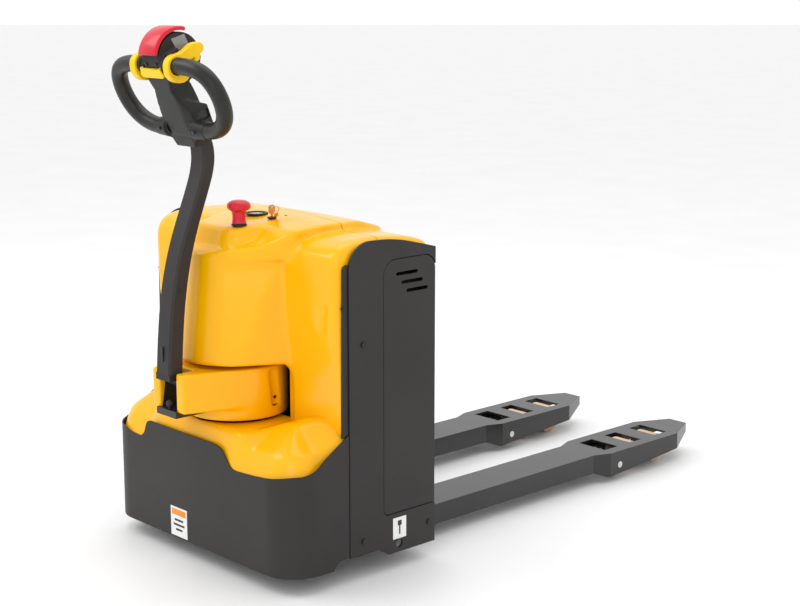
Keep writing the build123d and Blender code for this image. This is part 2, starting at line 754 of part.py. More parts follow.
# yellow lift and lower rocker on the operator's face of the head
rocker_level = 40.0
drum_depth = (head_x - loop_centre[0]) * facing[0] + (head_height - loop_centre[2]) * facing[2]
rocker_depth = drum_depth - drum_end_radius - clear
with BuildPart() as lift_rocker:
    with BuildSketch(head_plane.offset(rocker_depth)) as rocker_seat:
        with Locations((0, rocker_level)):
            Rectangle(60, 22)
    extrude(amount=-10)
    with BuildSketch(Plane(origin=on_head(0, rocker_level, rocker_depth), x_dir=(0, 1, 0), z_dir=along)):
        with BuildLine():
            Polyline((0, gap), (-40, 4.5), (-40, -gap), (40, -gap), (40, 4.5), close=True)
        make_face()
    extrude(amount=20, both=True, mode=Mode.SUBTRACT)
    with Locations(Plane(origin=on_head(0, rocker_level, rocker_depth - 4), z_dir=along)):
        Cylinder(2.5, 27)
save(lift_rocker, "lift_rocker")

# ============================== lifting carriage ==============================
tray_sheet = 4.0
with BuildPart() as carriage_frame:
    block((wall_x, -panel_inner, cheek_top), (rear - 6, panel_inner, cheek_top + tray_sheet))
    block((wall_x, -panel_inner, cheek_top + tray_sheet), (wall_x + 3, panel_inner, 735))
    block((rear - 6, -panel_inner, fork_top), (rear, panel_inner, 742))
    block((cylinder_x - 32, cylinder_y - 34, lift_pad_z), (wall_x, cylinder_y + 34, lift_pad_z + 16))
    for y in (-fork_y, fork_y):
        block((rear - 7, y - fork_shank_width / 2, 0), (rear + 1, y + fork_shank_width / 2, cheek_top),
              Mode.SUBTRACT)
save(carriage_frame, "carriage_frame")

door_foot = 139.0
door_head = 748.0
door_width = 165.0
hoist_radius = 11.0
bolt_places = ((rear - 228, 92), (rear - 228, 560), (rear - 20, 92))
for word, side in sides.items():
    outer = side * half_body
    with BuildPart() as side_panel:
        with BuildSketch(Plane.XZ.offset(-min(outer, outer - side * panel_sheet))) as panel_face:
            with BuildLine():
                Polyline(
                    (panel_front, 60), (rear - 170, 60), (rear - 150, 40), (rear, 40), (rear, panel_top),
                    (rear - 60, panel_top + 18), (rear - 130, panel_crown - 6), (rear - 179, panel_crown),
                    (rear - 225, panel_crown - 8), (rear - 256, panel_crown - 26),
                    (panel_front, panel_top - 14),
                    close=True,
                )
            make_face()
        extrude(amount=-panel_sheet)
        with Locations(Location((rear - 117, side * (half_body - panel_sheet / 2), 62), (90, 0, 0))):
            Cylinder(hoist_radius, panel_sheet + 2, mode=Mode.SUBTRACT)
        with BuildSketch(Plane.XZ.offset(-side * half_body)) as door_opening:
            with Locations((rear - door_width / 2, (door_foot + door_head) / 2)):
                RectangleRounded(door_width + 2, door_head - door_foot + 2, 36)
        extrude(amount=20, both=True, mode=Mode.SUBTRACT)
        for x, z in bolt_places:
            with Locations(Location((x, side * (half_body - panel_sheet / 2), z), (90, 0, 0))):
                Cylinder(4, panel_sheet + 2, mode=Mode.SUBTRACT)
    save(side_panel, f"side_panel_{word}")

with BuildPart() as side_doors:
    for side in (-1, 1):
        outer = side * half_body
        with BuildSketch(Plane.XZ.offset(-min(outer, outer - side * panel_sheet))) as door_face:
            with Locations((rear - door_width / 2, (door_foot + door_head) / 2)):
                RectangleRounded(door_width, door_head - door_foot, 35)
        extrude(door_face.sketch, amount=-panel_sheet)
        for row in range(3):
            x = rear - 91 + 16 * row
            z = 709 - 21 * row
            block((x - 33, outer - 8, z - 3.5), (x + 33, outer + 8, z + 3.5), Mode.SUBTRACT)
save(side_doors, "side_doors")

with BuildPart() as panel_bolts:
    for side in (-1, 1):
        for x, z in bolt_places:
            with Locations(Location((x, side * (half_body - 2.5), z), (90, 0, 0))):
                Cylinder(4, 7)
            with Locations(Location((x, side * (half_body + 1.5), z), (90, 0, 0))):
                Cylinder(7, 3)
save(panel_bolts, "panel_bolts")

with BuildPart() as slide_shoes:
    for side in (-1, 1):
        low, high = sorted((side * (rail_half + 8 + gap), side * panel_inner))
        for z in (150, 520):
            block((shoe_front, low, z), (shoe_back, high, z + 55))
save(slide_shoes, "slide_shoes")

battery_top = 690.0
battery_half = panel_inner - 44.0
with BuildPart() as battery:
    block((wall_x + 5, -battery_half, cheek_top + tray_sheet), (rear - 9, battery_half, battery_top))
    for y in (60 - battery_half, battery_half - 60):
        rod_z(rear - 84, y, battery_top, battery_top + 18, 9)
save(battery, "battery")

lid_half = panel_inner - 5.0
lid_front = rear - seam_reach + 4.0
lid_seat = 748.0
hinge_x = rear - 6.0
hinge_z = lid_seat + 8.0
with BuildPart() as battery_lid:
    with BuildSketch(Plane.XZ.offset(-lid_half)):
        with BuildLine():
            Polyline(
                (lid_front, lid_seat), (rear - 14, lid_seat), (rear - 14, 772), (rear - 40, 780),
                (lid_front, 792),
                close=True,
            )
        make_face()
    extrude(amount=2 * lid_half)
    with BuildSketch(Plane.XZ.offset(-190)):
        with BuildLine():
            Polyline(
                (lid_front, 785), (rear - 26, 770), (rear - 60, 794), (rear - 110, 808), (lid_front, 811),
                close=True,
            )
        make_face()
    extrude(amount=380)
    with BuildSketch(Plane.XZ.offset(-lid_half + cover_wall)):
        with BuildLine():
            Polyline(
                (lid_front + cover_wall, lid_seat - 1), (rear - 18, lid_seat - 1), (rear - 18, 768),
                (rear - 40, 776), (lid_front + cover_wall, 786),
                close=True,
            )
        make_face()
    extrude(amount=2 * (lid_half - cover_wall), mode=Mode.SUBTRACT)
    for y in (-240, 240):
        rod_y(hinge_x, y, hinge_z, 7, 60)
        block((hinge_x - 9, y - 30, hinge_z - 3), (hinge_x, y + 30, hinge_z + 7))
        rod_y(hinge_x, y, hinge_z, 3 + running, 62, Mode.SUBTRACT)
save(battery_lid, "battery_lid")

with BuildPart() as lid_hinges:
    for y in (-240, 240):
        rod_y(hinge_x, y, hinge_z, 3, 90)
        for end in (-38, 38):
            rod_y(hinge_x, y + end, hinge_z, 7, 14)
            block((rear - 6, y + end - 7, 742), (rear, y + end + 7, hinge_z))
save(lid_hinges, "lid_hinges")

# ---- forks ----
window_starts = (762.0, 872.0, 982.0)
window_lengths = (55.0, 48.0, 52.0)
window_width = 95.0
pivot_pin_radius = 9.0
fork_arm_x = rear + 790.0
shank = fork_shank_width / 2
toe = fork_toe_width / 2
under = fork_under - toe_drop
taper_start = rear + 1045.0


def fork_plan(y, inset, height):
    """Fork outline in plan at a height: shank, flare, toe and tapered tip."""
    tip = tip_width / 2 - inset / 2
    with BuildSketch(Plane.XY.offset(height)) as plan:
        with BuildLine():
            Polyline(
                (cheek_front, y - shank + inset), (rear + toe_start - 50, y - shank + inset),
                (rear + toe_start, y - toe + inset), (taper_start, y - toe + inset),
                (tip_x - inset, y - tip), (tip_x - inset, y + tip),
                (taper_start, y + toe - inset), (rear + toe_start, y + toe - inset),
                (rear + toe_start - 50, y + shank - inset), (cheek_front, y + shank - inset),
                close=True,
            )
        make_face()
    return plan.sketch


for word, side in sides.items():
    y = side * fork_y
    with BuildPart() as fork:
        extrude(fork_plan(y, 0, under), amount=cheek_top - under)
        with BuildSketch(Plane.XZ.offset(-y - toe - 5)):
            with BuildLine():
                Polyline(
                    (rear - 60, fork_under), (rear + toe_start - 50, fork_under), (rear + toe_start - 8, under),
                    (rear + toe_start + 10, under), (rear + 1050, 40), (tip_x + 5, 60),
                    (tip_x + 5, fork_top), (rear, fork_top), (rear, cheek_top), (rear - 60, cheek_top),
                    close=True,
                )
            make_face()
        extrude(amount=2 * toe + 10, mode=Mode.INTERSECT)
        extrude(fork_plan(y, fork_plate, 0), amount=fork_top - fork_plate, mode=Mode.SUBTRACT)
        block((rear - 60, y - shank + fork_plate, 0), (rear - 8, y + shank - fork_plate, 200), Mode.SUBTRACT)
        for start, length in zip(window_starts, window_lengths):
            block((rear + start, y - window_width / 2, fork_top - 20),
                  (rear + start + length, y + window_width / 2, fork_top + 5), Mode.SUBTRACT)
        rod_y(crank_x, y, crank_z, 11 + running, 300, Mode.SUBTRACT)
        rod_y(fork_arm_x, y, arm_pivot_z, pivot_pin_radius, 300, Mode.SUBTRACT)
    save(fork, f"fork_{word}")

with BuildPart() as fork_pins:
    for side in (-1, 1):
        rod_y(fork_arm_x, side * fork_y, arm_pivot_z, pivot_pin_radius, fork_toe_width)
save(fork_pins, "fork_pins")

with BuildPart() as piston_rod:
    rod_z(cylinder_x, cylinder_y, deck_top + 60, lift_pad_z, cylinder_bore - running)
save(piston_rod, "piston_rod")

# ---- crank shaft, push rods, wheel arms, bogies and load rollers ----
lever_pin_radius = 3.5
lever_sheet = 10.0
rod_start = crank_x - lever * sin(swing / 2)
rod_end = fork_arm_x - lever * sin(swing / 2)
with BuildPart() as crank_shaft:
    rod_y(crank_x, 0, crank_z, 11, 2 * (fork_y + shank) + 8)
    for side in (-1, 1):
        y = side * fork_y
        with BuildSketch(Plane.XZ.offset(-(y - lever_sheet / 2))) as crank_lever:
            with Locations((crank_x, crank_z)):
                Circle(13)
            with Locations((rod_start, rod_z_height)):
                Circle(7)
            with BuildLine():
                Polyline(
                    (crank_x - 13, crank_z), (crank_x + 12, crank_z), (rod_start + 7, rod_z_height),
                    (rod_start - 7, rod_z_height),
                    close=True,
                )
            make_face()
        extrude(amount=-lever_sheet)
        rod_y(rod_start, y, rod_z_height, lever_pin_radius, lever_sheet + 24)
        y = side * (bracket_y + bracket_sheet + 2)
        with BuildSketch(Plane.XZ.offset(-(y - 4))) as crank_beam:
            with Locations((crank_x, crank_z)):
                Circle(17)
            with Locations((crank_pin_x, crank_pin_z)):
                Circle(11)
            with BuildLine():
                Polyline(
                    (crank_x, crank_z - 15), (crank_x, crank_z + 15), (crank_pin_x, crank_pin_z + 10),
                    (crank_pin_x, crank_pin_z - 10),
                    close=True,
                )
            make_face()
        extrude(amount=-8)
        rod_y(crank_pin_x, side * (bracket_y + 2), crank_pin_z, crank_pin_radius, 24)
save(crank_shaft, "crank_shaft")

arm_tip_x = fork_arm_x + arm_length * cos(rest_dip)
bogie_z = roller_radius
arm_cheek = 8.0
with BuildPart() as push_rods:
    for side in (-1, 1):
        y = side * fork_y
        for cheek in (-1, 1):
            low, high = sorted((y + cheek * (lever_sheet / 2 + 1), y + cheek * (lever_sheet / 2 + 7)))
            block((rod_start - 12, low, rod_z_height - 9), (rod_end + 12, high, rod_z_height + 9))
        block((rod_start + 40, y - lever_sheet / 2 - 1, rod_z_height - 6),
              (rod_end - 40, y + lever_sheet / 2 + 1, rod_z_height + 6))
        for x in (rod_start, rod_end):
            rod_y(x, y, rod_z_height, 6, 60, Mode.SUBTRACT)
save(push_rods, "push_rods")

for word, side in sides.items():
    y = side * fork_y
    with BuildPart() as wheel_arm:
        with BuildSketch(Plane.XZ.offset(-(y - lever_sheet / 2))) as arm_lever:
            with Locations((fork_arm_x, arm_pivot_z)):
                Circle(12)
            with Locations((rod_end, rod_z_height)):
                Circle(7)
            with BuildLine():
                Polyline(
                    (fork_arm_x - 13, arm_pivot_z), (fork_arm_x + 12, arm_pivot_z), (rod_end + 7, rod_z_height),
                    (rod_end - 7, rod_z_height),
                    close=True,
                )
            make_face()
        extrude(amount=-lever_sheet)
        rod_y(rod_end, y, rod_z_height, lever_pin_radius, lever_sheet + 24)
        rod_y(fork_arm_x, y, arm_pivot_z, 12, fork_toe_width - 2 * fork_plate - 6)
        for cheek in (-1, 1):
            outer_y = fork_toe_width / 2 - fork_plate - 3
            low, high = sorted((y + cheek * outer_y, y + cheek * (outer_y - arm_cheek)))
            with BuildSketch(Plane.XZ.offset(-low)) as arm_side:
                with Locations((fork_arm_x, arm_pivot_z)):
                    Circle(15)
                with Locations((arm_tip_x, bogie_z)):
                    Circle(13)
                with BuildLine():
                    Polyline(
                        (fork_arm_x, arm_pivot_z - 14), (fork_arm_x, arm_pivot_z + 14),
                        (arm_tip_x, bogie_z + 12), (arm_tip_x, bogie_z - 12),
                        close=True,
                    )
                make_face()
            extrude(amount=-(high - low))
        rod_y(fork_arm_x, y, arm_pivot_z, pivot_pin_radius + running, 300, Mode.SUBTRACT)
        rod_y(arm_tip_x, y, bogie_z, 8, 2 * (fork_toe_width / 2 - fork_plate - 3))
    save(wheel_arm, f"wheel_arm_{word}")

    bogie_half = roller_spacing / 2
    with BuildPart() as bogie:
        plate_y = roller_width / 2 + 1
        for cheek in (-1, 1):
            low, high = sorted((y + cheek * plate_y, y + cheek * (plate_y + 5)))
            with BuildSketch(Plane.XZ.offset(-low)) as bogie_side:
                with Locations((arm_tip_x, bogie_z)):
                    SlotCenterToCenter(roller_spacing, 26)
            extrude(amount=-(high - low))
        rod_y(arm_tip_x, y, bogie_z, 13, 2 * plate_y)
        for end in (-1, 1):
            rod_y(arm_tip_x + end * bogie_half, y, bogie_z, 7, 2 * plate_y + 10)
        rod_y(arm_tip_x, y, bogie_z, 8 + running, 300, Mode.SUBTRACT)
    save(bogie, f"bogie_{word}")

    for place, end in {"rear": -1, "front": 1}.items():
        with BuildPart() as load_roller:
            rod_y(arm_tip_x + end * bogie_half, y, bogie_z, roller_radius, roller_width)
            fillet(load_roller.edges().filter_by(GeomType.CIRCLE), 3)
            rod_y(arm_tip_x + end * bogie_half, y, bogie_z, 7 + running, 300, Mode.SUBTRACT)
        save(load_roller, f"load_roller_{word}_{place}")

# cover screws: apron to skirt and hood to chassis
with BuildPart() as cover_screws:
    for side in (-1, 1):
        for z in (410, 650):
            with Locations(Location((rear - 284, side * (inside + 2), z), (90, 0, 0))):
                Cylinder(4, 2)
save(cover_screws, "cover_screws")
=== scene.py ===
import json
import math
import bmesh
import bpy
from mathutils import Matrix, Vector


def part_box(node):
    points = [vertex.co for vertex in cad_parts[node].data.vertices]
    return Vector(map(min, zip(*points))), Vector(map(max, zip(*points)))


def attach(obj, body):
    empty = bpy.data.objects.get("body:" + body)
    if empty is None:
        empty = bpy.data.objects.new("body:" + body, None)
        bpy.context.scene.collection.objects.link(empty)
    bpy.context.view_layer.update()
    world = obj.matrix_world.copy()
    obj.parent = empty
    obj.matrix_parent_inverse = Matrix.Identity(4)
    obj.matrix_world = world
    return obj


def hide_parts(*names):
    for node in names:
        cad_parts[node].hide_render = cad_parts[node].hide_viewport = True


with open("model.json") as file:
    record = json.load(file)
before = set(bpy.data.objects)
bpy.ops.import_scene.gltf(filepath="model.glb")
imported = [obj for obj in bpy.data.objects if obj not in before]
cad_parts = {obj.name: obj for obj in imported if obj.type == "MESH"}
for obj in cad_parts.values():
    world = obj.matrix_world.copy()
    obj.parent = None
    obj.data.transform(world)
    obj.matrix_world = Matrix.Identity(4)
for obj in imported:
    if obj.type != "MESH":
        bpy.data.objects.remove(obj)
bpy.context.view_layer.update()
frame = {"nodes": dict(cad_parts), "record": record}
print("frame loaded")

# camera: a long lens, a little above the hood, off the front corner
view = {"place": (-2.9110, -3.0365, 1.3961), "target": (-0.1988, -0.1268, 0.5750), "lens": 73.25,
        "sensor": 36.0}
camera = bpy.data.objects.new("camera", bpy.data.cameras.new("camera"))
camera.data.lens = view["lens"]
camera.data.sensor_width = view["sensor"]
camera.data.clip_end = 40
camera.location = view["place"]
aim = Vector(view["target"]) - Vector(view["place"])
camera.rotation_euler = aim.to_track_quat("-Z", "Y").to_euler()
bpy.context.scene.collection.objects.link(camera)
bpy.context.scene.camera = camera

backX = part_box("carriage_frame")[1][0]    # the backrest: every piece below is in millimetres from it
joints = {j["name"]: j for j in frame["record"]["behaviour"]["joints"]}
steerX = (joints["steering"]["pos_m"][0] - backX) * 1000
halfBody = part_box("side_panel_left")[1][1] * 1000
sideWord = {1: "left", -1: "right"}


# small tools
def toObject(name, bm, placed=True):
    # a mesh in millimetres from the backrest becomes an object in metres, in the shared frame
    if placed:
        bmesh.ops.scale(bm, vec=(0.001, 0.001, 0.001), verts=bm.verts)
        bmesh.ops.translate(bm, vec=(backX, 0, 0), verts=bm.verts)
    mesh = bpy.data.meshes.new(name)
    bm.to_mesh(mesh)
    bm.free()
    obj = bpy.data.objects.new(name, mesh)
    bpy.context.scene.collection.objects.link(obj)
    return obj


def bake(obj):
    # applies the live modifiers
    graph = bpy.context.evaluated_depsgraph_get()
    mesh = bpy.data.meshes.new_from_object(obj.evaluated_get(graph))
    old = obj.data
    obj.modifiers.clear()
    obj.data = mesh
    bpy.data.meshes.remove(old)
    return obj


def boolean(obj, other, operation):
    mod = obj.modifiers.new("cut", "BOOLEAN")
    mod.object = other
    mod.operation = operation
    mod.solver = "EXACT"
    bake(obj)
    mesh = other.data
    bpy.data.objects.remove(other)
    bpy.data.meshes.remove(mesh)
    return obj


def soften(obj, voxel, rounds, strength=0.5):
    # fuses overlapping solids into one moulded skin and rounds its corners
    mod = obj.modifiers.new("fuse", "REMESH")
    mod.mode = "VOXEL"
    mod.voxel_size = voxel / 1000
    bake(obj)
    bm = bmesh.new()
    bm.from_mesh(obj.data)
    for step in range(rounds):
        bmesh.ops.smooth_vert(bm, verts=bm.verts, factor=strength, use_axis_x=True, use_axis_y=True,
                              use_axis_z=True)
    bm.to_mesh(obj.data)
    bm.free()
    return obj


def shade(obj, angle=35):
    for face in obj.data.polygons:
        face.use_smooth = True
    obj.data.set_sharp_from_angle(angle=math.radians(angle))


def addBevel(obj, width, segments=3, angle=35):
    mod = obj.modifiers.new("edges", "BEVEL")
    mod.width = width / 1000
    mod.segments = segments
    mod.limit_method = "ANGLE"
    mod.angle_limit = math.radians(angle)
    mod.harden_normals = False
    return obj


def finishPiece(obj, material, body, nodes=(), angle=35):
    shade(obj, angle)
    obj.data.materials.clear()
    obj.data.materials.append(material)
    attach(obj, body)
    if nodes:
        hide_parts(*nodes)
    return obj


def hull(points):
    # the convex solid around some points
    bm = bmesh.new()
    verts = [bm.verts.new(p) for p in points]
    made = bmesh.ops.convex_hull(bm, input=verts)
    loose = [v for v in made["geom_interior"] + made["geom_unused"]
             if isinstance(v, bmesh.types.BMVert)]
    bmesh.ops.delete(bm, geom=list(set(loose)), context="VERTS")
    return bm


def paired(points):
    # the convex solid around some points and their mirror images on the other side
    return hull([(x, side * y, z) for side in (-1, 1) for x, y, z in points])


def ringPoints(x, y, z, radius, count=48, start=0.0, sweep=360.0):
    step = sweep / (count if sweep == 360.0 else count - 1)
    turn = [math.radians(start + step * i) for i in range(count)]
    return [(x + radius * math.cos(a), y + radius * math.sin(a), z) for a in turn]


def outlineFace(bm, outline, plane, level, rounding=(), segments=8):
    # a flat face from 2-D points, with some of its corners rounded
    spot = {"xy": lambda a, b: (a, b, level),
            "xz": lambda a, b: (a, level, b),
            "yz": lambda a, b: (level, a, b)}[plane]
    verts = [bm.verts.new(spot(a, b)) for a, b in outline]
    bm.faces.new(verts)
    for radius, indices in rounding:
        corners = [verts[i] for i in indices]
        bmesh.ops.bevel(bm, geom=corners, affect="VERTICES", offset=radius, segments=segments,
                        profile=0.5, material=-1, clamp_overlap=True)
    return bm


def prism(outline, plane, low, high, rounding=(), segments=8):
    bm = outlineFace(bmesh.new(), outline, plane, low, rounding, segments)
    face = list(bm.faces)
    made = bmesh.ops.extrude_face_region(bm, geom=face)
    along = {"xy": (0, 0, high - low), "xz": (0, high - low, 0), "yz": (high - low, 0, 0)}[plane]
    moved = [g for g in made["geom"] if isinstance(g, bmesh.types.BMVert)]
    bmesh.ops.translate(bm, vec=along, verts=moved)
    bmesh.ops.recalc_face_normals(bm, faces=bm.faces)
    return bm


def bar(low, high, rounding=0, segments=3):
    bm = bmesh.new()
    bmesh.ops.create_cube(bm, size=1)
    size = [high[i] - low[i] for i in range(3)]
    bmesh.ops.scale(bm, vec=size, verts=bm.verts)
    bmesh.ops.translate(bm, vec=[(high[i] + low[i]) / 2 for i in range(3)], verts=bm.verts)
    if rounding:
        bmesh.ops.bevel(bm, geom=bm.edges[:], affect="EDGES", offset=rounding, segments=segments,
                        profile=0.5, material=-1)
    return bm


def rod(start, end, radius, radiusEnd=None, segments=48, rounding=0.0):
    bm = bmesh.new()
    start, end = Vector(start), Vector(end)
    length = (end - start).length
    farRadius = radius if radiusEnd is None else radiusEnd
    bmesh.ops.create_cone(bm, cap_ends=True, segments=segments, radius1=radius, radius2=farRadius,
                          depth=length)
    if rounding:
        rims = [e for e in bm.edges if abs(e.verts[0].co.z - e.verts[1].co.z) < 1e-6]
        bmesh.ops.bevel(bm, geom=rims, affect="EDGES", offset=rounding, segments=3, profile=0.5,
                        material=-1)
    turn = (end - start).to_track_quat("Z", "Y").to_matrix().to_4x4()
    bmesh.ops.transform(bm, matrix=Matrix.Translation((start + end) / 2) @ turn, verts=bm.verts)
    return bm


def lathe(profile, centre, axis=(0, 0, 1), steps=64):
    # turns (radius, height) points about an axis through the centre
    bm = bmesh.new()
    verts = [bm.verts.new((r, 0, h)) for r, h in profile]
    edges = [bm.edges.new((a, b)) for a, b in zip(verts, verts[1:])]
    bmesh.ops.spin(bm, geom=verts + edges, cent=(0, 0, 0), axis=(0, 0, 1), angle=math.tau, steps=steps,
                   use_merge=True)
    bmesh.ops.remove_doubles(bm, verts=bm.verts, dist=0.001)
    bmesh.ops.recalc_face_normals(bm, faces=bm.faces)
    turn = Vector(axis).to_track_quat("Z", "Y").to_matrix().to_4x4()
    bmesh.ops.transform(bm, matrix=Matrix.Translation(centre) @ turn, verts=bm.verts)
    return bm


def merged(*parts):
    # several bmeshes as one
    whole = bmesh.new()
    for part in parts:
        mesh = bpy.data.meshes.new("part")
        part.to_mesh(mesh)
        part.free()
        whole.from_mesh(mesh)
        bpy.data.meshes.remove(mesh)
    return whole


# finishes
def nodeTree(name):
    mat = bpy.data.materials.new(name)
    mat.use_nodes = True
    nodes, links = mat.node_tree.nodes, mat.node_tree.links
    shader = nodes["Principled BSDF"]
    coords = nodes.new("ShaderNodeTexCoord")
    return mat, nodes, links, shader, coords


def noise(nodes, links, coords, scale, detail=4.0, roughness=0.55):
    tex = nodes.new("ShaderNodeTexNoise")
    tex.inputs["Scale"].default_value = scale
    tex.inputs["Detail"].default_value = detail
    tex.inputs["Roughness"].default_value = roughness
    links.new(coords.outputs["Object"], tex.inputs["Vector"])
    return tex.outputs["Fac"]


def ramp(nodes, links, value, low, high, start=0.3, end=0.7):
    node = nodes.new("ShaderNodeValToRGB")
    node.color_ramp.elements[0].position = start
    node.color_ramp.elements[0].color = (*low, 1)
    node.color_ramp.elements[1].position = end
    node.color_ramp.elements[1].color = (*high, 1)
    links.new(value, node.inputs["Fac"])
    return node.outputs["Color"]


def spread(nodes, links, value, low, high):
    node = nodes.new("ShaderNodeMapRange")
    node.inputs["To Min"].default_value = low
    node.inputs["To Max"].default_value = high
    links.new(value, node.inputs["Value"])
    return node.outputs["Result"]


def bump(nodes, links, shader, value, strength, distance):
    node = nodes.new("ShaderNodeBump")
    node.inputs["Strength"].default_value = strength
    node.inputs["Distance"].default_value = distance
    links.new(value, node.inputs["Height"])
    links.new(node.outputs["Normal"], shader.inputs["Normal"])


def surface(name, low, high, roughness, grainScale, grain, distance=0.0002, patchScale=6.0,
            metallic=0.0, coat=0.0, specular=0.5):
    # colour drifts slowly over the piece, roughness and height follow a fine grain
    mat, nodes, links, shader, coords = nodeTree(name)
    patch = noise(nodes, links, coords, patchScale, 5.0)
    fine = noise(nodes, links, coords, grainScale, 3.0, 0.6)
    links.new(ramp(nodes, links, patch, low, high), shader.inputs["Base Color"])
    links.new(spread(nodes, links, fine, roughness[0], roughness[1]), shader.inputs["Roughness"])
    shader.inputs["Metallic"].default_value = metallic
    shader.inputs["Coat Weight"].default_value = coat
    shader.inputs["Specular IOR Level"].default_value = specular
    shader.inputs["Coat Roughness"].default_value = 0.06
    bump(nodes, links, shader, fine, grain, distance)
    return mat


def powderCoat(name, low, high):
    # sprayed powder: a fine orange peel with a paler speckle
    mat, nodes, links, shader, coords = nodeTree(name)
    patch = noise(nodes, links, coords, 5.0, 6.0)
    speck = noise(nodes, links, coords, 1400.0, 2.0, 0.7)
    peel = noise(nodes, links, coords, 420.0, 3.0, 0.6)
    base = ramp(nodes, links, patch, low, high)
    mix = nodes.new("ShaderNodeMix")
    mix.data_type = "RGBA"
    mix.blend_type = "SOFT_LIGHT"
    mix.inputs["Factor"].default_value = 0.25
    links.new(base, mix.inputs["A"])
    links.new(ramp(nodes, links, speck, (0.25, 0.25, 0.25), (0.8, 0.8, 0.8), 0.35, 0.75),
              mix.inputs["B"])
    links.new(mix.outputs["Result"], shader.inputs["Base Color"])
    links.new(spread(nodes, links, peel, 0.42, 0.62), shader.inputs["Roughness"])
    shader.inputs["Specular IOR Level"].default_value = 0.35
    bump(nodes, links, shader, peel, 0.22, 0.0004)
    return mat


def glass(name):
    mat, nodes, links, shader, coords = nodeTree(name)
    smear = noise(nodes, links, coords, 60.0, 3.0)
    links.new(ramp(nodes, links, smear, (0.72, 0.78, 0.78), (0.85, 0.88, 0.88)),
              shader.inputs["Base Color"])
    links.new(spread(nodes, links, smear, 0.03, 0.09), shader.inputs["Roughness"])
    shader.inputs["Transmission Weight"].default_value = 0.85
    shader.inputs["IOR"].default_value = 1.45
    return mat


yellowPaint = surface("yellow_gloss", low=(0.92, 0.44, 0.0), high=(0.95, 0.475, 0.0),
                      roughness=(0.18, 0.26), grainScale=900.0, grain=0.05, distance=0.0001,
                      patchScale=3.0, coat=0.15, specular=0.28)
yellowPlastic = surface("yellow_plastic", low=(0.90, 0.56, 0.0), high=(0.94, 0.60, 0.0),
                        roughness=(0.26, 0.36), grainScale=1500.0, grain=0.08, distance=0.0001,
                        patchScale=20.0, specular=0.3)
redPlastic = surface("red_plastic", low=(0.58, 0.010, 0.024), high=(0.64, 0.014, 0.032),
                     roughness=(0.22, 0.32), grainScale=1200.0, grain=0.06, distance=0.0001,
                     patchScale=20.0, coat=0.1, specular=0.3)
charcoal = powderCoat("charcoal_coat", (0.021, 0.0185, 0.0178), (0.028, 0.025, 0.024))
forkCoat = surface("fork_coat", low=(0.014, 0.0132, 0.013), high=(0.022, 0.021, 0.0205),
                   roughness=(0.20, 0.30), grainScale=600.0, grain=0.08, distance=0.0002,
                   patchScale=7.0)
blackMetal = surface("black_enamel", low=(0.012, 0.012, 0.013), high=(0.022, 0.021, 0.021),
                     roughness=(0.30, 0.45), grainScale=500.0, grain=0.15, distance=0.0003)
headPlastic = surface("head_plastic", low=(0.009, 0.0085, 0.0075), high=(0.014, 0.013, 0.012),
                      roughness=(0.38, 0.54), grainScale=2200.0, grain=0.35, distance=0.00012,
                      patchScale=12.0, specular=0.35)
# black rubber of the grips and plugs, also used as painted shade for the dark gaps between the hood and the
# panels
rubberAndGapShade = surface("rubber_and_gap_shade", low=(0.009, 0.0082, 0.0075), high=(0.014, 0.013, 0.012),
                     roughness=(0.34, 0.48), grainScale=1800.0, grain=0.30, distance=0.00012,
                     patchScale=14.0, specular=0.4)
# painted sheen: a mid grey standing for the light that a glossy black facet reflects
paintedSheenGrey = surface("painted_sheen_grey", low=(0.20, 0.20, 0.21), high=(0.27, 0.27, 0.28),
                    roughness=(0.12, 0.2), grainScale=800.0, grain=0.05, distance=0.0001,
                    patchScale=20.0, coat=0.5)
zincSteel = surface("zinc_plate", low=(0.50, 0.50, 0.49), high=(0.66, 0.65, 0.62),
                    roughness=(0.22, 0.40), grainScale=700.0, grain=0.12, distance=0.0002,
                    patchScale=30.0, metallic=1.0)
darkSteel = surface("black_oxide", low=(0.020, 0.019, 0.019), high=(0.045, 0.043, 0.041),
                    roughness=(0.30, 0.48), grainScale=600.0, grain=0.15, distance=0.0002,
                    patchScale=40.0, metallic=0.6)
castMetal = surface("cast_aluminium", low=(0.36, 0.36, 0.36), high=(0.50, 0.50, 0.49),
                    roughness=(0.40, 0.60), grainScale=350.0, grain=0.5, distance=0.0005,
                    patchScale=10.0, metallic=0.9)
tyreRubber = surface("tyre_rubber", low=(0.014, 0.014, 0.014), high=(0.030, 0.029, 0.028),
                     roughness=(0.60, 0.80), grainScale=260.0, grain=0.45, distance=0.0006,
                     patchScale=12.0)
polyurethane = surface("roller_polyurethane", low=(0.56, 0.39, 0.25), high=(0.66, 0.47, 0.31),
                       roughness=(0.32, 0.46), grainScale=300.0, grain=0.15, distance=0.0004,
                       patchScale=18.0)
nylon = surface("guide_nylon", low=(0.68, 0.66, 0.58), high=(0.76, 0.74, 0.66), roughness=(0.40, 0.55),
                grainScale=400.0, grain=0.2, distance=0.0003)
batteryCase = surface("battery_case", low=(0.030, 0.032, 0.036), high=(0.05, 0.052, 0.056),
                      roughness=(0.45, 0.6), grainScale=300.0, grain=0.3, distance=0.0004)
brassKey = surface("key_brass", low=(0.62, 0.22, 0.05), high=(0.78, 0.34, 0.10), roughness=(0.22, 0.36),
                   grainScale=900.0, grain=0.1, distance=0.0001, patchScale=60.0, metallic=0.8)
paperWhite = surface("label_white", low=(0.78, 0.78, 0.77), high=(0.84, 0.84, 0.83),
                     roughness=(0.35, 0.45), grainScale=900.0, grain=0.05, distance=0.00005,
                     patchScale=30.0)
paperOrange = surface("label_orange", low=(0.80, 0.24, 0.01), high=(0.86, 0.28, 0.02),
                      roughness=(0.35, 0.45), grainScale=900.0, grain=0.05, distance=0.00005,
                      patchScale=30.0)
inkBlack = surface("label_ink", low=(0.012, 0.012, 0.012), high=(0.02, 0.02, 0.02),
                   roughness=(0.4, 0.5), grainScale=900.0, grain=0.05, distance=0.00005,
                   patchScale=30.0)
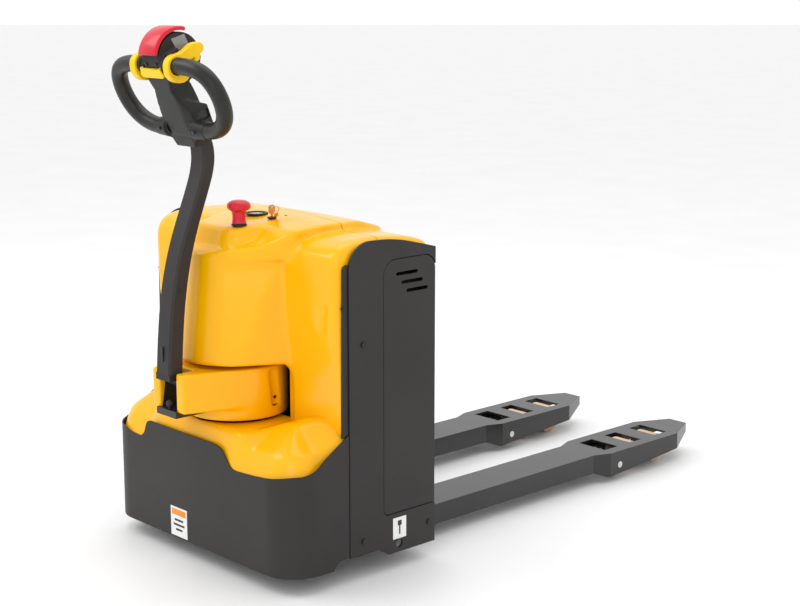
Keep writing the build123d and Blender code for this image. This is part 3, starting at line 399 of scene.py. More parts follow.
gaugeFace = surface("gauge_face", low=(0.62, 0.66, 0.68), high=(0.72, 0.75, 0.76), roughness=(0.3, 0.4),
                    grainScale=900.0, grain=0.04, distance=0.00005, patchScale=80.0)
clearLens = glass("lens_clear")
print("finishes made")


# hood and battery lid: one moulded skin, parted at the seam
hoodShape = {
    "half": 349, "foot": 344, "seam": -167, "seamGap": (1, 1.2), "noseFoot": 138, "noseHead": 106,
    "noseBottom": 490, "ledge": 748, "rim": 24, "mouthHalf": 168, "mouthBack": -262, "mouthCorner": 42,
    "openHalf": 138, "openTop": 482, "lidFoot": 749, "wall": 3.5, "lidWall": 4.0, "voxel": 4.2,
    # the shoulders seen from the side: distance and height
    "side": [(-281, 330), (-286, 480), (-300, 600), (-303, 742), (-296, 772), (-268, 792), (-215, 798),
             (-150, 799), (-60, 788), (-6, 773), (-6, 330)],
    # corners of the raised console, the shelf below it, the ridge behind it and the pressed arrow
    "pod": [(-396, 50, 744), (-386, 86, 744), (-345, 112, 750), (-376, 48, 807), (-366, 76, 808.5),
            (-320, 92, 812), (-205, 104, 824), (-160, 100, 824), (-190, 150, 790), (-315, 40, 813)],
    "shelf": [(-412, 30, 730), (-395, 82, 730), (-356, 122, 738), (-412, 30, 754), (-396, 80, 756),
              (-350, 128, 764), (-318, 176, 784), (-300, 190, 740), (-250, 150, 800)],
    "ridge": [(-346, 124, 764), (-326, 172, 784), (-298, 210, 810), (-225, 224, 817), (-100, 214, 813),
              (-20, 200, 790), (-40, 60, 797), (-100, 110, 815), (-200, 110, 825), (-150, 40, 826),
              (-40, 190, 740), (-300, 190, 740)],
    "arrow": [(-312, 334, 677), (-312, 262, 652), (-312, 258, 560), (-312, 326, 493), (-312, 292, 562),
              (-312, 300, 640), (-298, 318, 650), (-298, 284, 640), (-298, 282, 572), (-298, 300, 540)],
}


def bodySolid():
    s = hoodShape
    shoulders = prism(s["side"], "xz", -s["half"], s["half"])
    rims = [e for e in shoulders.edges
            if all(abs(v.co.y) > s["half"] - 1 and v.co.x < -5 and v.co.z > 331 for v in e.verts)]
    bmesh.ops.bevel(shoulders, geom=rims, affect="EDGES", offset=s["rim"], segments=6, profile=0.5,
                    material=-1)
    block = toObject("shoulders", shoulders)
    half, top = s["mouthHalf"], s["noseBottom"]
    mouth = prism([(-half, 300), (half, 300), (half, top), (-half, top)], "yz", -340, s["mouthBack"],
                  [(s["mouthCorner"], (2, 3))], 10)
    boolean(block, toObject("mouth", mouth), "DIFFERENCE")
    roots = [(-283, y, s["noseBottom"]) for y in (-176, 176)]
    roots += [(-298, y, s["ledge"] + 10) for y in (-170, 170)]
    nose = hull(ringPoints(steerX, 0, s["noseBottom"], s["noseFoot"], 96)
                + ringPoints(steerX, 0, s["ledge"], s["noseHead"], 96) + roots)
    pod = paired(s["pod"])
    shelf = paired(s["shelf"])
    ridge = paired(s["ridge"])
    whole = toObject("body", merged(nose, pod, shelf, ridge))
    both = bmesh.new()
    both.from_mesh(whole.data)
    both.from_mesh(block.data)
    both.to_mesh(whole.data)
    both.free()
    bpy.data.objects.remove(block)
    body = soften(whole, s["voxel"], 5)
    for side in (-1, 1):
        arrow = hull([(x, side * y, z) for x, y, z in s["arrow"]])
        boolean(body, toObject("arrow", arrow), "DIFFERENCE")
    return soften(body, s["voxel"] * 0.9, 8)


def openShell(source, name, planes, wall, hole=None):
    # keeps the inner side of some planes, as a sheet with a thickness
    bm = bmesh.new()
    bm.from_mesh(source.data)
    for point, normal in planes:
        spot = Vector(((point[0] / 1000 + backX), point[1] / 1000, point[2] / 1000))
        bmesh.ops.bisect_plane(bm, geom=bm.verts[:] + bm.edges[:] + bm.faces[:], plane_co=spot,
                               plane_no=normal, clear_outer=True)
    if hole:
        hole(bm)
    bmesh.ops.recalc_face_normals(bm, faces=bm.faces)
    obj = toObject(name, bm, placed=False)
    mod = obj.modifiers.new("wall", "SOLIDIFY")
    mod.thickness = wall / 1000
    mod.offset = -1
    mod.use_even_offset = False
    return bake(obj)


def openMouth(bm):
    # the back of the mouth stands open round the drum
    s = hoodShape
    half, top = s["openHalf"] / 1000, s["openTop"] / 1000
    low, high = backX + (s["mouthBack"] - 6) / 1000, backX + (s["mouthBack"] + 6) / 1000
    for side in (-1, 1):
        near = [f for f in bm.faces if low < f.calc_center_median().x < high
                and f.calc_center_median().z < 0.486]
        geom = list({v for f in near for v in f.verts}) + list({e for f in near for e in f.edges}) + near
        bmesh.ops.bisect_plane(bm, geom=geom, plane_co=(0, side * half, 0), plane_no=(0, 1, 0))
    gone = [f for f in bm.faces if low < f.calc_center_median().x < high
            and f.calc_center_median().z < top and abs(f.calc_center_median().y) < half]
    bmesh.ops.delete(bm, geom=gone, context="FACES")


bodySkin = bodySolid()
hoodEnd = hoodShape["seam"] - hoodShape["seamGap"][0]
lidEnd = hoodShape["seam"] + hoodShape["seamGap"][1]
hoodPlanes = [((0, 0, hoodShape["foot"]), (0, 0, -1)), ((hoodEnd, 0, 0), (1, 0, 0))]
lidPlanes = [((0, 0, hoodShape["lidFoot"]), (0, 0, -1)), ((lidEnd, 0, 0), (-1, 0, 0))]
hood = openShell(bodySkin, "hood_shell", hoodPlanes, hoodShape["wall"], openMouth)
lid = openShell(bodySkin, "lid_shell", lidPlanes, hoodShape["lidWall"])
bpy.data.objects.remove(bodySkin)
finishPiece(hood, yellowPaint, "chassis", ["hood"], 50)
finishPiece(lid, yellowPaint, "battery_lid", ["battery_lid"], 50)
print("hood and lid made")

# apron: moulded lower cover
apronShape = {
    "front": -445, "back": -258, "half": 356, "corner": 86, "low": 257, "deck": 351, "wall": 3.5,
    "well": 110, "rounds": 45, "margin": 4, "cells": (94, 356), "riseFrom": -362, "riseLength": 96,
    "browHalf": 205, "browFade": 70, "slopeFoot": 303, "slopeRise": 45, "slopeBrow": 42, "slope": 0.72,
    "steepRise": 84, "steep": 3.4, "steepBrow": 9, "bowlHalf": 168, "bowlSlope": 0.42, "crest": 384,
    "crestFall": 0.16, "crestFrom": -300,
}


def smoothMin(a, b, blend):
    h = max(blend - abs(a - b), 0) / blend
    return min(a, b) - h * h * blend / 4


def edgeInset(x, y):
    # distance from the apron's rounded outline, inwards
    s = apronShape
    dx, dy = x - s["front"], s["half"] - abs(y)
    if dx < s["corner"] and dy < s["corner"]:
        return s["corner"] - math.hypot(s["corner"] - dx, s["corner"] - dy)
    return min(dx, dy)


def easeStep(value):
    value = min(max(value, 0), 1)
    return value * value * (3 - 2 * value)


def apronHeight(x, y):
    # low at the skirt, up a slope that stands higher in the middle, then level into the bowl round the drum
    s = apronShape
    inset = edgeInset(x, y)
    rise = easeStep((x - s["riseFrom"]) / s["riseLength"])
    brow = easeStep((s["browHalf"] - abs(y)) / s["browFade"])
    slope = s["slopeFoot"] + s["slopeRise"] * rise + s["slopeBrow"] * brow * (1 - rise) + s["slope"] * inset
    steep = s["low"] + s["steepRise"] * rise + (s["steep"] + s["steepBrow"] * brow) * inset
    bowl = s["deck"] + s["bowlSlope"] * max(0, abs(y) - s["bowlHalf"])
    crest = s["crest"] + s["crestFall"] * min(0, x - s["crestFrom"])
    bowl = smoothMin(bowl, crest, 14)
    return smoothMin(smoothMin(steep, slope, 9), bowl, 12)


def makeApron():
    s = apronShape
    bm = bmesh.new()
    bmesh.ops.create_grid(bm, x_segments=s["cells"][0], y_segments=s["cells"][1], size=0.5)
    length, width = s["back"] - s["front"] + 2 * s["margin"], 2 * s["half"] + 2 * s["margin"]
    bmesh.ops.scale(bm, vec=(length, width, 1), verts=bm.verts)
    bmesh.ops.translate(bm, vec=(s["front"] - s["margin"] + length / 2, 0, 0), verts=bm.verts)
    for v in bm.verts:
        v.co.z = apronHeight(v.co.x, v.co.y)
    for step in range(s["rounds"]):
        bmesh.ops.smooth_vert(bm, verts=bm.verts, factor=0.5, use_axis_z=True)
    made = bmesh.ops.extrude_face_region(bm, geom=bm.faces[:])
    low = [g for g in made["geom"] if isinstance(g, bmesh.types.BMVert)]
    for v in low:
        v.co.z = 200
    bmesh.ops.recalc_face_normals(bm, faces=bm.faces)
    solid = toObject("apron_shell", bm)
    front, half = s["front"], s["half"]
    outline = prism([(s["back"], -half), (front, -half), (front, half), (s["back"], half)], "xy",
                    150, 500, [(s["corner"], (1, 2))], 24)
    boolean(solid, toObject("apron_outline", outline), "INTERSECT")
    planes = [((0, 0, s["low"]), (0, 0, -1)), ((s["back"] - 1, 0, 0), (1, 0, 0))]
    shell = openShell(solid, "apron_shell_open", planes, s["wall"])
    bpy.data.objects.remove(solid)
    well = rod((steerX, 0, 300), (steerX, 0, 420), s["well"], segments=96)
    boolean(shell, toObject("well", well), "DIFFERENCE")
    shell.name = "apron_shell"
    return shell


finishPiece(makeApron(), yellowPaint, "chassis", ["apron_cover"], 40)
print("apron made")

# front skirt: folded sheet round the nose of the chassis
skirtShape = {
    "front": -449, "back": -273, "corner": 90, "bottom": 43, "top": 380, "sheet": 3, "backOpening": 5,
    # the part cut away above the wavy front edge, above the sides and below the rear corners
    "aboveFront": [(-400, 284), (-336, 282), (-291, 275), (-233, 269), (-165, 265), (-148, 267),
                   (-130, 287), (-112, 307), (-86, 313), (178, 315), (189, 309), (201, 279), (217, 268),
                   (253, 270), (289, 279), (400, 284), (400, 450), (-400, 450)],
    "aboveSide": [(-399.1, 283), (-376, 287), (-346, 312), (-270, 358), (-250, 358), (-250, 450),
                  (-399.1, 450)],
    "belowSide": [(-330, 20), (-322, 44), (-304, 62), (-250, 66), (-250, 20)],
}


def skirtPlan(inset):
    # the skirt's outline from above, raised to a block, drawn in by the inset
    s = skirtShape
    front, half = s["front"] + inset, halfBody - inset
    back = s["back"] + (s["backOpening"] if inset else 0)
    return prism([(back, -half), (front, -half), (front, half), (back, half)], "xy",
                 s["bottom"] - inset, s["top"] + inset, [(s["corner"] - inset, (1, 2))], 28)


def makeSkirt():
    s = skirtShape
    skirt = toObject("skirt_sheet", skirtPlan(0))
    boolean(skirt, toObject("inside", skirtPlan(s["sheet"])), "DIFFERENCE")
    crest = prism(s["aboveFront"], "yz", s["front"] - 20, s["front"] + 50,
                  [(12, (4, 5, 7, 8, 9, 10, 11, 12))], 5)
    boolean(skirt, toObject("crest", crest), "DIFFERENCE")
    flank = prism(s["aboveSide"], "xz", -400, 400, [(17, (1,)), (14, (2,))], 8)
    boolean(skirt, toObject("flank", flank), "DIFFERENCE")
    step = prism(s["belowSide"], "xz", -400, 400, [(8, (1, 2))], 4)
    boolean(skirt, toObject("step", step), "DIFFERENCE")
    return addBevel(skirt, 1.0, 2, 40)


finishPiece(makeSkirt(), charcoal, "chassis", ["front_skirt"], 40)
print("skirt made")

# side panels, each with a fitted door
panelShape = {
    "sheet": 6, "door": 165, "doorFoot": 139, "doorHead": 744, "gap": 1.6, "slitAt": (-91, 709),
    "slitStep": (16, -21), "slitHalf": (34, 4), "slits": 3, "hoistHole": (-117, 62, 11),
    "outline": [(-270, 60), (-181, 60), (-150, 40), (-0.5, 40), (-0.5, 760), (-60, 776), (-120, 790),
                (-179, 795), (-270, 795)],
}


def makePanel(side):
    s = panelShape
    low, high = sorted((side * (halfBody - s["sheet"]), side * halfBody))
    sheet = prism(s["outline"], "xz", low, high, [(64, (8,)), (40, (7, 6, 5)), (5, (1, 2))], 14)
    panel = toObject("panel", sheet)
    front, foot, head = -s["door"] - s["gap"], s["doorFoot"] - s["gap"], s["doorHead"] + s["gap"]
    hole = prism([(front, foot), (s["gap"], foot), (s["gap"], head), (front, head)], "xz",
                 low - 5, high + 5, [(38, (2, 3)), (16, (0,))], 12)
    boolean(panel, toObject("door_hole", hole), "DIFFERENCE")
    x, z, radius = s["hoistHole"]
    hoist = rod((x, low - 5, z), (x, high + 5, z), radius)
    boolean(panel, toObject("hoist", hoist), "DIFFERENCE")
    return addBevel(panel, 1.6, 3, 40)


def makeDoor(side):
    s = panelShape
    low, high = sorted((side * (halfBody - s["sheet"]), side * (halfBody - 0.4)))
    outline = [(-s["door"], s["doorFoot"]), (-1, s["doorFoot"]), (-1, s["doorHead"]),
               (-s["door"], s["doorHead"])]
    door = toObject("door", prism(outline, "xz", low, high, [(36, (2, 3)), (14, (0,))], 12))
    for row in range(s["slits"]):
        x, z = [at + step * row for at, step in zip(s["slitAt"], s["slitStep"])]
        wide, tall = s["slitHalf"]
        corners = [(x - wide, z - tall), (x + wide, z - tall), (x + wide, z + tall), (x - wide, z + tall)]
        slit = prism(corners, "xz", low - 5, high + 5, [(3.6, (0, 1, 2, 3))], 4)
        boolean(door, toObject("slit", slit), "DIFFERENCE")
    return addBevel(door, 1.4, 3, 40)


for side, word in sideWord.items():
    panel = makePanel(side)
    panel.name = f"side_panel_{word}_sheet"
    finishPiece(panel, charcoal, "carriage", [f"side_panel_{word}"], 40)
    door = makeDoor(side)
    door.name = f"side_door_{word}_sheet"
    finishPiece(door, charcoal, "carriage", ["side_doors"], 40)
print("side panels made")

# drum cover with its two flaps
drumShape = {"radius": 124.5, "low": 357, "high": 481.5, "flapLow": 388, "reach": 199.5, "half": 60.5,
             "slot": 31.5, "slotBack": 146, "wall": 18, "voxel": 2.4, "groove": 20,
             "screwAt": (24, 403), "screw": 4.2}


def makeDrum():
    s = drumShape
    ends = [(steerX - s["reach"], y, z) for y in (-s["half"], s["half"]) for z in (s["flapLow"], s["high"])]
    flaps = hull(ringPoints(steerX, 0, s["flapLow"], s["radius"], 96)
                 + ringPoints(steerX, 0, s["high"], s["radius"], 96) + ends)
    drum = rod((steerX, 0, s["low"]), (steerX, 0, s["high"] - 2), s["radius"], segments=128)
    cover = toObject("drum_skin", merged(flaps, drum))
    mod = cover.modifiers.new("fuse", "REMESH")
    mod.mode = "VOXEL"
    mod.voxel_size = s["voxel"] / 1000
    bake(cover)
    slot = bar((steerX - 300, -s["slot"], 300), (steerX - s["slotBack"], s["slot"], 520))
    boolean(cover, toObject("slot", slot), "DIFFERENCE")
    hollow = rod((steerX, 0, 340), (steerX, 0, s["high"] - 4), s["radius"] - s["wall"], segments=96)
    boolean(cover, toObject("hollow", hollow), "DIFFERENCE")
    for side in (-1, 1):
        top = (steerX + 14, side * (s["radius"] + 13), 472)
        groove = rod((steerX + 27, side * (s["radius"] + 9), 384), top, s["groove"], segments=40)
        boolean(cover, toObject("groove", groove), "DIFFERENCE")
    return soften(cover, 2.3, 14)


finishPiece(makeDrum(), yellowPaint, "drive_unit", ["drum_cover"], 60)
for side in (-1, 1):
    x, z = steerX + drumShape["screwAt"][0], drumShape["screwAt"][1]
    bolt = rod((x, side * 117, z), (x, side * 110, z), drumShape["screw"], segments=24, rounding=1)
    screw = toObject(f"drum_screw_{sideWord[side]}", bolt)
    finishPiece(screw, darkSteel, "drive_unit")
print("drum made")

# black strips of painted shade standing for the dark gaps between the hood and the panels, labels, small
# plugs
gapShadeShape = {"front": -288, "back": -271, "inner": 349.6, "outer": 356.5, "low": 350, "high": 742}


def smallPiece(name, bm, material, body, angle=35):
    return finishPiece(toObject(name, bm), material, body, (), angle)


# each strip is a black sheet placed where the gap between hood and panel lies in shade: painted shade, not
# a part
for side, word in sideWord.items():
    low, high = sorted((side * gapShadeShape["inner"], side * gapShadeShape["outer"]))
    front, back = gapShadeShape["front"], gapShadeShape["back"]
    foot, head = gapShadeShape["low"], gapShadeShape["high"]
    strip = prism([(front, foot), (back, foot), (back, head + 6), (front + 5, head)], "xz", low, high,
                  [(6, (3,))], 4)
    smallPiece(f"gap_shade_strip_{word}", strip, rubberAndGapShade, "carriage")

frontLabel = {"low": (30, 47), "high": (96, 120), "x": -449.0, "thick": 0.4}
low, high = frontLabel["low"], frontLabel["high"]
thick, labelX = frontLabel["thick"], frontLabel["x"]
plate = bar((labelX - thick, low[0], low[1]), (labelX + 0.1, high[0], high[1]))
smallPiece("skirt_label", plate, paperWhite, "chassis")
band = bar((labelX - 2 * thick, low[0] + 5, high[1] - 20), (labelX - 0.2, high[0] - 5, high[1] - 5))
smallPiece("skirt_label_band", band, paperOrange, "chassis")
for row, (width, z) in enumerate(((34, 88), (44, 76), (26, 64))):
    line = bar((labelX - 2 * thick, 63 - width / 2, z - 2.5), (labelX - 0.2, 63 + width / 2, z + 2.5))
    smallPiece(f"skirt_label_line_{row}", line, inkBlack, "chassis")
panelTag = bar((-137, -halfBody - 0.4, 74), (-95, -halfBody + 0.1, 126))
smallPiece("panel_label", panelTag, paperWhite, "carriage")
markLow, markHigh = -halfBody - 0.8, -halfBody - 0.2
tagMark = merged(bar((-122, markLow, 106), (-110, markHigh, 118)),
                 bar((-118, markLow, 84), (-114, markHigh, 106)))
smallPiece("panel_label_mark", tagMark, inkBlack, "carriage")
print("labels and strips made")

# head of the tiller
headShape = {
    "drumX": -477, "drumZ": 1199, "drumRadius": 57, "half": 33, "loopX": -494, "loopZ": 1139,
    "lean": math.radians(25), "tube": 19,
    # half width, level up the head and depth of the corners of each block
    "neck": [(34, 72, -4), (44, 54, -15), (44, 26, -15), (33, -8, -15), (38, 72, 42), (42, 30, 40),
             (31, -8, 42), (34, 50, 44)],
    "waist": [(33, -8, -15), (33, -14, 42), (34, -120, -15), (33, -120, 44), (46, -45, -13),
              (40, -50, 40)],
    "shoulders": [(36, -22, -14), (60, -66, -6), (60, -68, 44), (60, -124, -8), (60, -128, 40),
                  (40, -142, -14), (40, -146, 40)],
    "tip": [(40, -128, -15), (37, -152, -15), (37, -156, 36), (40, -130, 42)],
    "window": [(-74, 10), (-76, 40), (-96, 38), (-97, 8)],
    # a grey plate on each end of the drum, painted sheen standing for light reflected off the black facet
    # there, from the middle of the drum
    "facet": [(-24, 31, 41), (12, 31, 51), (21, 34.5, 30), (-9, 34.5, 15), (-24, 33, 42), (12, 33, 52),
              (21, 36, 30), (-9, 36, 15)],
    # the half loop from the drum round to the shoulder: half width and level
    "route": [(30, 47), (80, 50), (136, 48), (174, 26), (190, -18), (182, -66), (152, -99), (106, -113),
              (70, -112), (40, -108)],
}
lean = headShape["lean"]
along = Vector((-math.sin(lean), 0, math.cos(lean)))      # up the head
facing = Vector((math.cos(lean), 0, math.sin(lean)))      # away from the operator


def onHead(y, level, depth):
    return Vector((headShape["loopX"], y, headShape["loopZ"])) + along * level + facing * depth


def bothSides(points):
    return [onHead(side * y, level, depth) for side in (-1, 1) for y, level, depth in points]


def makeHead():
    s = headShape
    drum = rod((s["drumX"], -s["half"], s["drumZ"]), (s["drumX"], s["half"], s["drumZ"]),
               s["drumRadius"], segments=96)
    neck = hull(bothSides(s["neck"]))
    waist = hull(bothSides(s["waist"]))
    shoulders = hull(bothSides(s["shoulders"]))
    tip = hull(bothSides(s["tip"]))
    sockets = [rod(onHead(side * 48, -110, 2), onHead(side * 96, -112, 0), 26, 20, segments=48)
               for side in (-1, 1)]
    collars = [rod(onHead(side * 40, 48, 0), onHead(side * 50, 48, 0), 25, 22, segments=48)
               for side in (-1, 1)]
    blocks = merged(drum, neck, waist, shoulders, tip, *sockets, *collars)
    head = soften(toObject("head_shell", blocks), 2.2, 5)
    for side in (-1, 1):
        window = hull([onHead(side * y, level, depth) for y in (55, 70)
                       for level, depth in headShape["window"]])
        boolean(head, toObject("window", window), "DIFFERENCE")
    return head


def makeLoop(side):
    # a bent tube whose centre line is a smooth curve in the leaning plane
    s = headShape
    curve = bpy.data.curves.new("grip_route", "CURVE")
    curve.dimensions = "3D"
    spline = curve.splines.new("NURBS")
    spline.points.add(len(s["route"]) - 1)
    for point, (y, level) in zip(spline.points, s["route"]):
        spot = onHead(side * y, level, 0)
        point.co = (spot.x / 1000 + backX, spot.y / 1000, spot.z / 1000, 1)
    spline.order_u = 4
    spline.use_endpoint_u = True
    spline.resolution_u = 10
    curve.bevel_depth = s["tube"] / 1000
    curve.bevel_resolution = 10
    curve.use_fill_caps = True
    holder = bpy.data.objects.new("grip_curve", curve)
    bpy.context.scene.collection.objects.link(holder)
    graph = bpy.context.evaluated_depsgraph_get()
    mesh = bpy.data.meshes.new_from_object(holder.evaluated_get(graph))
    bm = bmesh.new()
    bm.from_mesh(mesh)
    bmesh.ops.remove_doubles(bm, verts=bm.verts, dist=0.00001)
    bmesh.ops.recalc_face_normals(bm, faces=bm.faces)
    bpy.data.objects.remove(holder)
    bpy.data.curves.remove(curve)
    return toObject(f"grip_loop_{sideWord[side]}", bm, placed=False)


finishPiece(makeHead(), headPlastic, "tiller", ["head_housing"], 45)
for side in (-1, 1):
    finishPiece(makeLoop(side), rubberAndGapShade, "tiller", ["handle_loops"], 60)
    word = sideWord[side]
    # grey plate painted as the sheen on the black facet of the head
    facet = hull([(headShape["drumX"] + x, side * y, headShape["drumZ"] + z)
                  for x, y, z in headShape["facet"]])
    smallPiece(f"head_sheen_facet_{word}", facet, paintedSheenGrey, "tiller")
    slotHole = rod((headShape["drumX"] - 50, side * 19, 1186),
                   (headShape["drumX"] - 57.6, side * 19, 1184.5), 4, segments=24)
    smallPiece(f"head_slot_{word}", slotHole, inkBlack, "tiller")
    screw = rod(onHead(side * 66, -104, -18), onHead(side * 66, -104, -25.5), 4.5, segments=24,
                rounding=1)
    smallPiece(f"head_screw_{word}", screw, inkBlack, "tiller")
    recess = hull([onHead(side * y, level, depth) for y in (54, 55.5)
                   for level, depth in headShape["window"]])
    smallPiece(f"head_window_{word}", recess, inkBlack, "tiller")
print("head made")

# red reverse button, wrapped over the drum end
buttonShape = {"outer": 69.8, "inner": 63.6, "half": 33, "lip": 60.5, "start": 76, "end": 175}


def makeButton():
    s = buttonShape
    half, outer = s["half"], s["outer"]
    lip, inner = s["lip"], s["inner"]
    profile = [(lip, -half), (outer - 4, -half), (outer - 1, -half + 1.6), (outer, -half + 5),
               (outer + 0.1, 0), (outer, half - 5), (outer - 1, half - 1.6), (outer - 4, half),
               (lip, half), (lip, half - 2.6), (inner, half - 5), (inner, -half + 5), (lip, -half + 2.6)]
    bm = bmesh.new()
    verts = [bm.verts.new((r, y, 0)) for r, y in profile]
    edges = [bm.edges.new((verts[i], verts[(i + 1) % len(verts)])) for i in range(len(verts))]
    bmesh.ops.rotate(bm, cent=(0, 0, 0), matrix=Matrix.Rotation(-math.radians(s["start"]), 3, "Y"),
                     verts=bm.verts)
    bmesh.ops.spin(bm, geom=verts + edges, cent=(0, 0, 0), axis=(0, -1, 0),
                   angle=math.radians(s["end"] - s["start"]), steps=40)
    bmesh.ops.holes_fill(bm, edges=[e for e in bm.edges if e.is_boundary], sides=0)
    bmesh.ops.recalc_face_normals(bm, faces=bm.faces)
    bmesh.ops.translate(bm, vec=(headShape["drumX"], 0, headShape["drumZ"]), verts=bm.verts)
    return addBevel(toObject("reverse_button", bm), 1.2, 3, 40)


finishPiece(makeButton(), redPlastic, "belly_button", ["belly_button"], 40)

# lift rocker with raised ends
rockerShape = {"depth": 8.5, "back": -16.3,
               "outline": [(36, 54), (30, 49.5), (-30, 49.5), (-36, 54), (-43, 35), (-38, 28),
                           (38, 28), (43, 35)]}
bm = prism(rockerShape["outline"], "xy", -rockerShape["depth"], 0, [(2.5, (0, 3, 4, 5, 6, 7))], 4)
pose = Matrix((Vector((0, 1, 0)), along, facing)).transposed().to_4x4()
bmesh.ops.transform(bm, matrix=Matrix.Translation(onHead(0, 0, rockerShape["back"])) @ pose,
                    verts=bm.verts)
bmesh.ops.recalc_face_normals(bm, faces=bm.faces)
rockerBar = addBevel(toObject("lift_rocker_bar", bm), 1.6, 3, 40)
finishPiece(rockerBar, yellowPlastic, "lift_rocker", ["lift_rocker"], 40)

# throttle: a collar on each grip with a thumb tab and a finger pad
throttleShape = {
    "from": 54, "to": 75, "collar": 26.5, "play": 1.2,
    # outlines seen from the side, from the middle of the grip
    "tab": [(-6, 16), (26, 10), (58, 22), (72, 32), (74, 42), (66, 52), (44, 51), (14, 30), (-8, 25)],
    "drop": [(48, 6), (62, 12), (66, 44), (52, 46)],
    "pad": [(-25, 4), (-8, -12), (24, -14), (36, -20), (24, -34), (4, -38), (-14, -31), (-26, -15)],
}


def makeThrottle(side):
    s = throttleShape
    axisSpot = onHead(0, 48, 0)
    low, high = sorted((side * s["from"], side * s["to"]))

    def flat(outline, inset, rounding):
        return prism([(axisSpot.x + x, axisSpot.z + z) for x, z in outline], "xz", low + inset,
                     high - inset, rounding, 6)
    tab = flat(s["tab"], 1, [(4, (3, 4, 5)), (8, (6, 7))])
    drop = flat(s["drop"], 1, [(4, (0, 1))])
    pad = flat(s["pad"], 0, [(8, (3, 4, 5, 6, 7))])
    collar = rod((axisSpot.x, low, axisSpot.z), (axisSpot.x, high, axisSpot.z), s["collar"],
                 segments=64)
    paddle = soften(toObject(f"throttle_{sideWord[side]}", merged(tab, drop, pad, collar)), 1.7, 5)
    bore = rod((axisSpot.x, low - 5, axisSpot.z), (axisSpot.x, high + 5, axisSpot.z),
               headShape["tube"] + s["play"], segments=64)
    return boolean(paddle, toObject("bore", bore), "DIFFERENCE")


for side in (-1, 1):
    finishPiece(makeThrottle(side), yellowPlastic, "throttle", ["throttle"], 50)
print("switches of the head made")

# tiller arm: key slot and a plug on its side
armFront = (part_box("tiller_arm")[0][0] - backX) * 1000
slotShape = {"half": 3.5, "low": 506, "high": 542, "round": 3.4}
half, low, high = slotShape["half"], slotShape["low"], slotShape["high"]
slot = prism([(-half, low), (half, low), (half, high), (-half, high)], "yz",
             armFront - 0.25, armFront + 2, [(slotShape["round"], (0, 1, 2, 3))], 6)
smallPiece("arm_slot", slot, inkBlack, "tiller")
for side in (-1, 1):
    plug = rod((-491, side * 26.5, 671), (-491, side * 28.6, 671), 5.5, segments=32, rounding=0.8)
    smallPiece(f"arm_plug_{sideWord[side]}", plug, rubberAndGapShade, "tiller")

# emergency stop cap
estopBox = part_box("estop_mushroom")
estopX = ((estopBox[0][0] + estopBox[1][0]) / 2 - backX) * 1000
estopY = (estopBox[0][1] + estopBox[1][1]) * 500
estopTop = estopBox[1][2] * 1000
cap = [(0, 0), (8, -0.3), (16, -1.6), (22.5, -4.6), (26.8, -9), (28, -14), (27.2, -18.5),
       (23.5, -22.5), (18.5, -25), (16.4, -29), (15.4, -36),
       (15.6, -47), (16.6, -52), (16.6, -54), (0, -54)]
stopCap = toObject("stop_cap", lathe(cap, (estopX, estopY, estopTop)))
finishPiece(stopCap, redPlastic, "estop_mushroom", ["estop_mushroom"], 50)

# battery gauge: face, scale marks and a domed lens
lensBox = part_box("gauge_lens")
gaugeX = ((lensBox[0][0] + lensBox[1][0]) / 2 - backX) * 1000
gaugeLow = lensBox[0][2] * 1000
gaugeRadius = (lensBox[1][0] - lensBox[0][0]) * 500
dial = lathe([(0, 0.6), (gaugeRadius, 0.6), (gaugeRadius, 0.05), (0, 0.05)], (gaugeX, 0, gaugeLow))
smallPiece("gauge_dial", dial, gaugeFace, "chassis")
for mark in range(7):
    turn = math.radians(-60 + 20 * mark)
    spoke = bar((9, -0.6, 0), (14.5, 0.6, 0.35))
    bmesh.ops.rotate(spoke, cent=(0, 0, 0), matrix=Matrix.Rotation(turn + math.pi, 3, "Z"),
                     verts=spoke.verts)
    bmesh.ops.translate(spoke, vec=(gaugeX, 0, gaugeLow + 0.5), verts=spoke.verts)
    smallPiece(f"gauge_mark_{mark}", spoke, inkBlack, "chassis")
dome = lathe([(0, 3.1), (gaugeRadius * 0.6, 2.8), (gaugeRadius - 0.3, 2.1), (gaugeRadius - 0.3, 1.5),
              (0, 1.5)], (gaugeX, 0, gaugeLow))
finishPiece(toObject("gauge_glass", dome), clearLens, "chassis", ["gauge_lens"], 40)

# key with its ring and tag
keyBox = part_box("key")
keyX = ((keyBox[0][0] + keyBox[1][0]) / 2 - backX) * 1000
keyY = (keyBox[0][1] + keyBox[1][1]) * 500
keyLow, keyHigh = keyBox[0][2] * 1000, keyBox[1][2] * 1000
blade = bar((keyX - 3, keyY - 1, keyLow + 2), (keyX + 3, keyY + 1, keyHigh - 19), 0.5)
bowFoot, bowHead = keyHigh - 21, keyHigh - 0.5
bow = prism([(keyX - 9, bowFoot), (keyX + 9, bowFoot), (keyX + 9, bowHead), (keyX - 9, bowHead)],
            "xz", keyY - 1.5, keyY + 1.5, [(6, (0, 1, 2, 3))], 6)
keyPiece = toObject("key_blade", merged(blade, bow))
eye = rod((keyX, keyY - 5, keyHigh - 6), (keyX, keyY + 5, keyHigh - 6), 3, segments=24)
boolean(keyPiece, toObject("eye", eye), "DIFFERENCE")
finishPiece(addBevel(keyPiece, 0.4, 2, 50), brassKey, "key", ["key"], 40)
ringProfile = [(11 + 0.9 * math.cos(a), 0.9 * math.sin(a))
               for a in [math.tau * i / 12 for i in range(13)]]
ring = lathe(ringProfile, (keyX + 5, keyY - 4, keyHigh - 12.5), (0.35, 1, 0.55), 40)
smallPiece("key_ring", ring, zincSteel, "key", 60)
tag = prism([(-11, -5), (11, -5), (11, 5), (-11, 5)], "xy", -0.6, 0.6, [(4, (0, 1, 2, 3))], 5)
hanging = Matrix.Rotation(math.radians(-38), 4, "X") @ Matrix.Rotation(math.radians(60), 4, "Z")
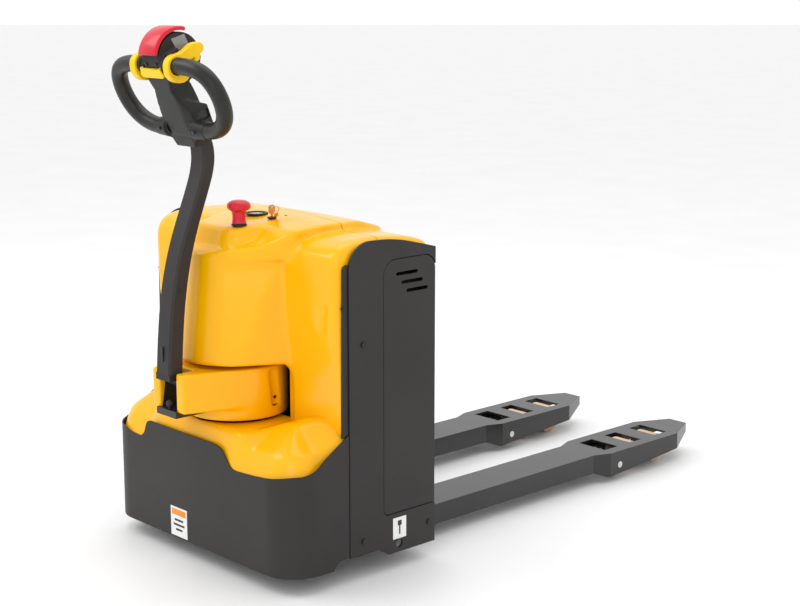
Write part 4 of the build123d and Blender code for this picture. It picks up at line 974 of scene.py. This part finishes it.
bmesh.ops.transform(tag, matrix=Matrix.Translation((keyX + 1, keyY - 15, keyHigh - 23)) @ hanging,
                    verts=tag.verts)
smallPiece("key_tag", tag, paperOrange, "key")
pinhole = rod((-217, -76, 818), (-217, -76, 823.4), 3.4, segments=24)
smallPiece("hood_pinhole", pinhole, inkBlack, "chassis")
print("console fittings made")

# finishes of the nodes that keep their own shape
slotFinish = {"yellow_paint": yellowPaint, "charcoal_paint": charcoal, "black_paint": blackMetal,
              "black_plastic": headPlastic, "red_plastic": redPlastic, "yellow_plastic": yellowPlastic,
              "clear_lens": clearLens, "zinc_steel": zincSteel, "cast_aluminium": castMetal,
              "black_rubber": tyreRubber, "guide_nylon": nylon, "roller_polyurethane": polyurethane}
ownFinish = {"fork_left": forkCoat, "fork_right": forkCoat, "cover_screws": darkSteel,
             "panel_bolts": darkSteel, "battery": batteryCase, "fork_pins": zincSteel}
nodeSlot = {part["node"]: part["material_slot"] for part in frame["record"]["subparts"]}
for name, node in frame["nodes"].items():
    finish = ownFinish.get(name) or slotFinish[nodeSlot[name]]
    if not node.material_slots:
        node.data.materials.append(finish)
    for holder in node.material_slots:
        holder.material = finish
print("node finishes set")


# floor, studio light and white surroundings
def makeStage():
    bm = bmesh.new()
    bmesh.ops.create_grid(bm, x_segments=1, y_segments=1, size=60)
    floor = toObject("floor", bm, placed=False)
    mat, nodes, links, shader, coords = nodeTree("pale_floor")
    tone = noise(nodes, links, coords, 3.0)
    links.new(ramp(nodes, links, tone, (0.90, 0.90, 0.90), (0.93, 0.93, 0.93)),
              shader.inputs["Base Color"])
    shader.inputs["Roughness"].default_value = 0.55
    floor.data.materials.append(mat)


def areaLight(name, place, target, size, power):
    light = bpy.data.lights.new(name, "AREA")
    light.shape = "RECTANGLE"
    light.size, light.size_y = size
    light.energy = power
    obj = bpy.data.objects.new(name, light)
    obj.location = place
    obj.rotation_euler = (Vector(target) - Vector(place)).to_track_quat("-Z", "Y").to_euler()
    bpy.context.scene.collection.objects.link(obj)


makeStage()
middle = (-0.2, 0.0, 0.5)
areaLight("key_box", (-2.4, 1.8, 3.2), middle, (2.4, 1.6), 34)
areaLight("fill_box", (-3.4, -2.4, 1.8), middle, (2.0, 2.0), 14)
areaLight("top_box", (0.3, 0.2, 4.0), middle, (3.4, 2.6), 36)
world = bpy.data.worlds.new("white_room")
bpy.context.scene.world = world
world.use_nodes = True
world.node_tree.nodes["Background"].inputs["Color"].default_value = (1.0, 1.0, 1.0, 1)
world.node_tree.nodes["Background"].inputs["Strength"].default_value = 1.0
bpy.context.scene.view_settings.view_transform = "Standard"
print("stage and lights made")
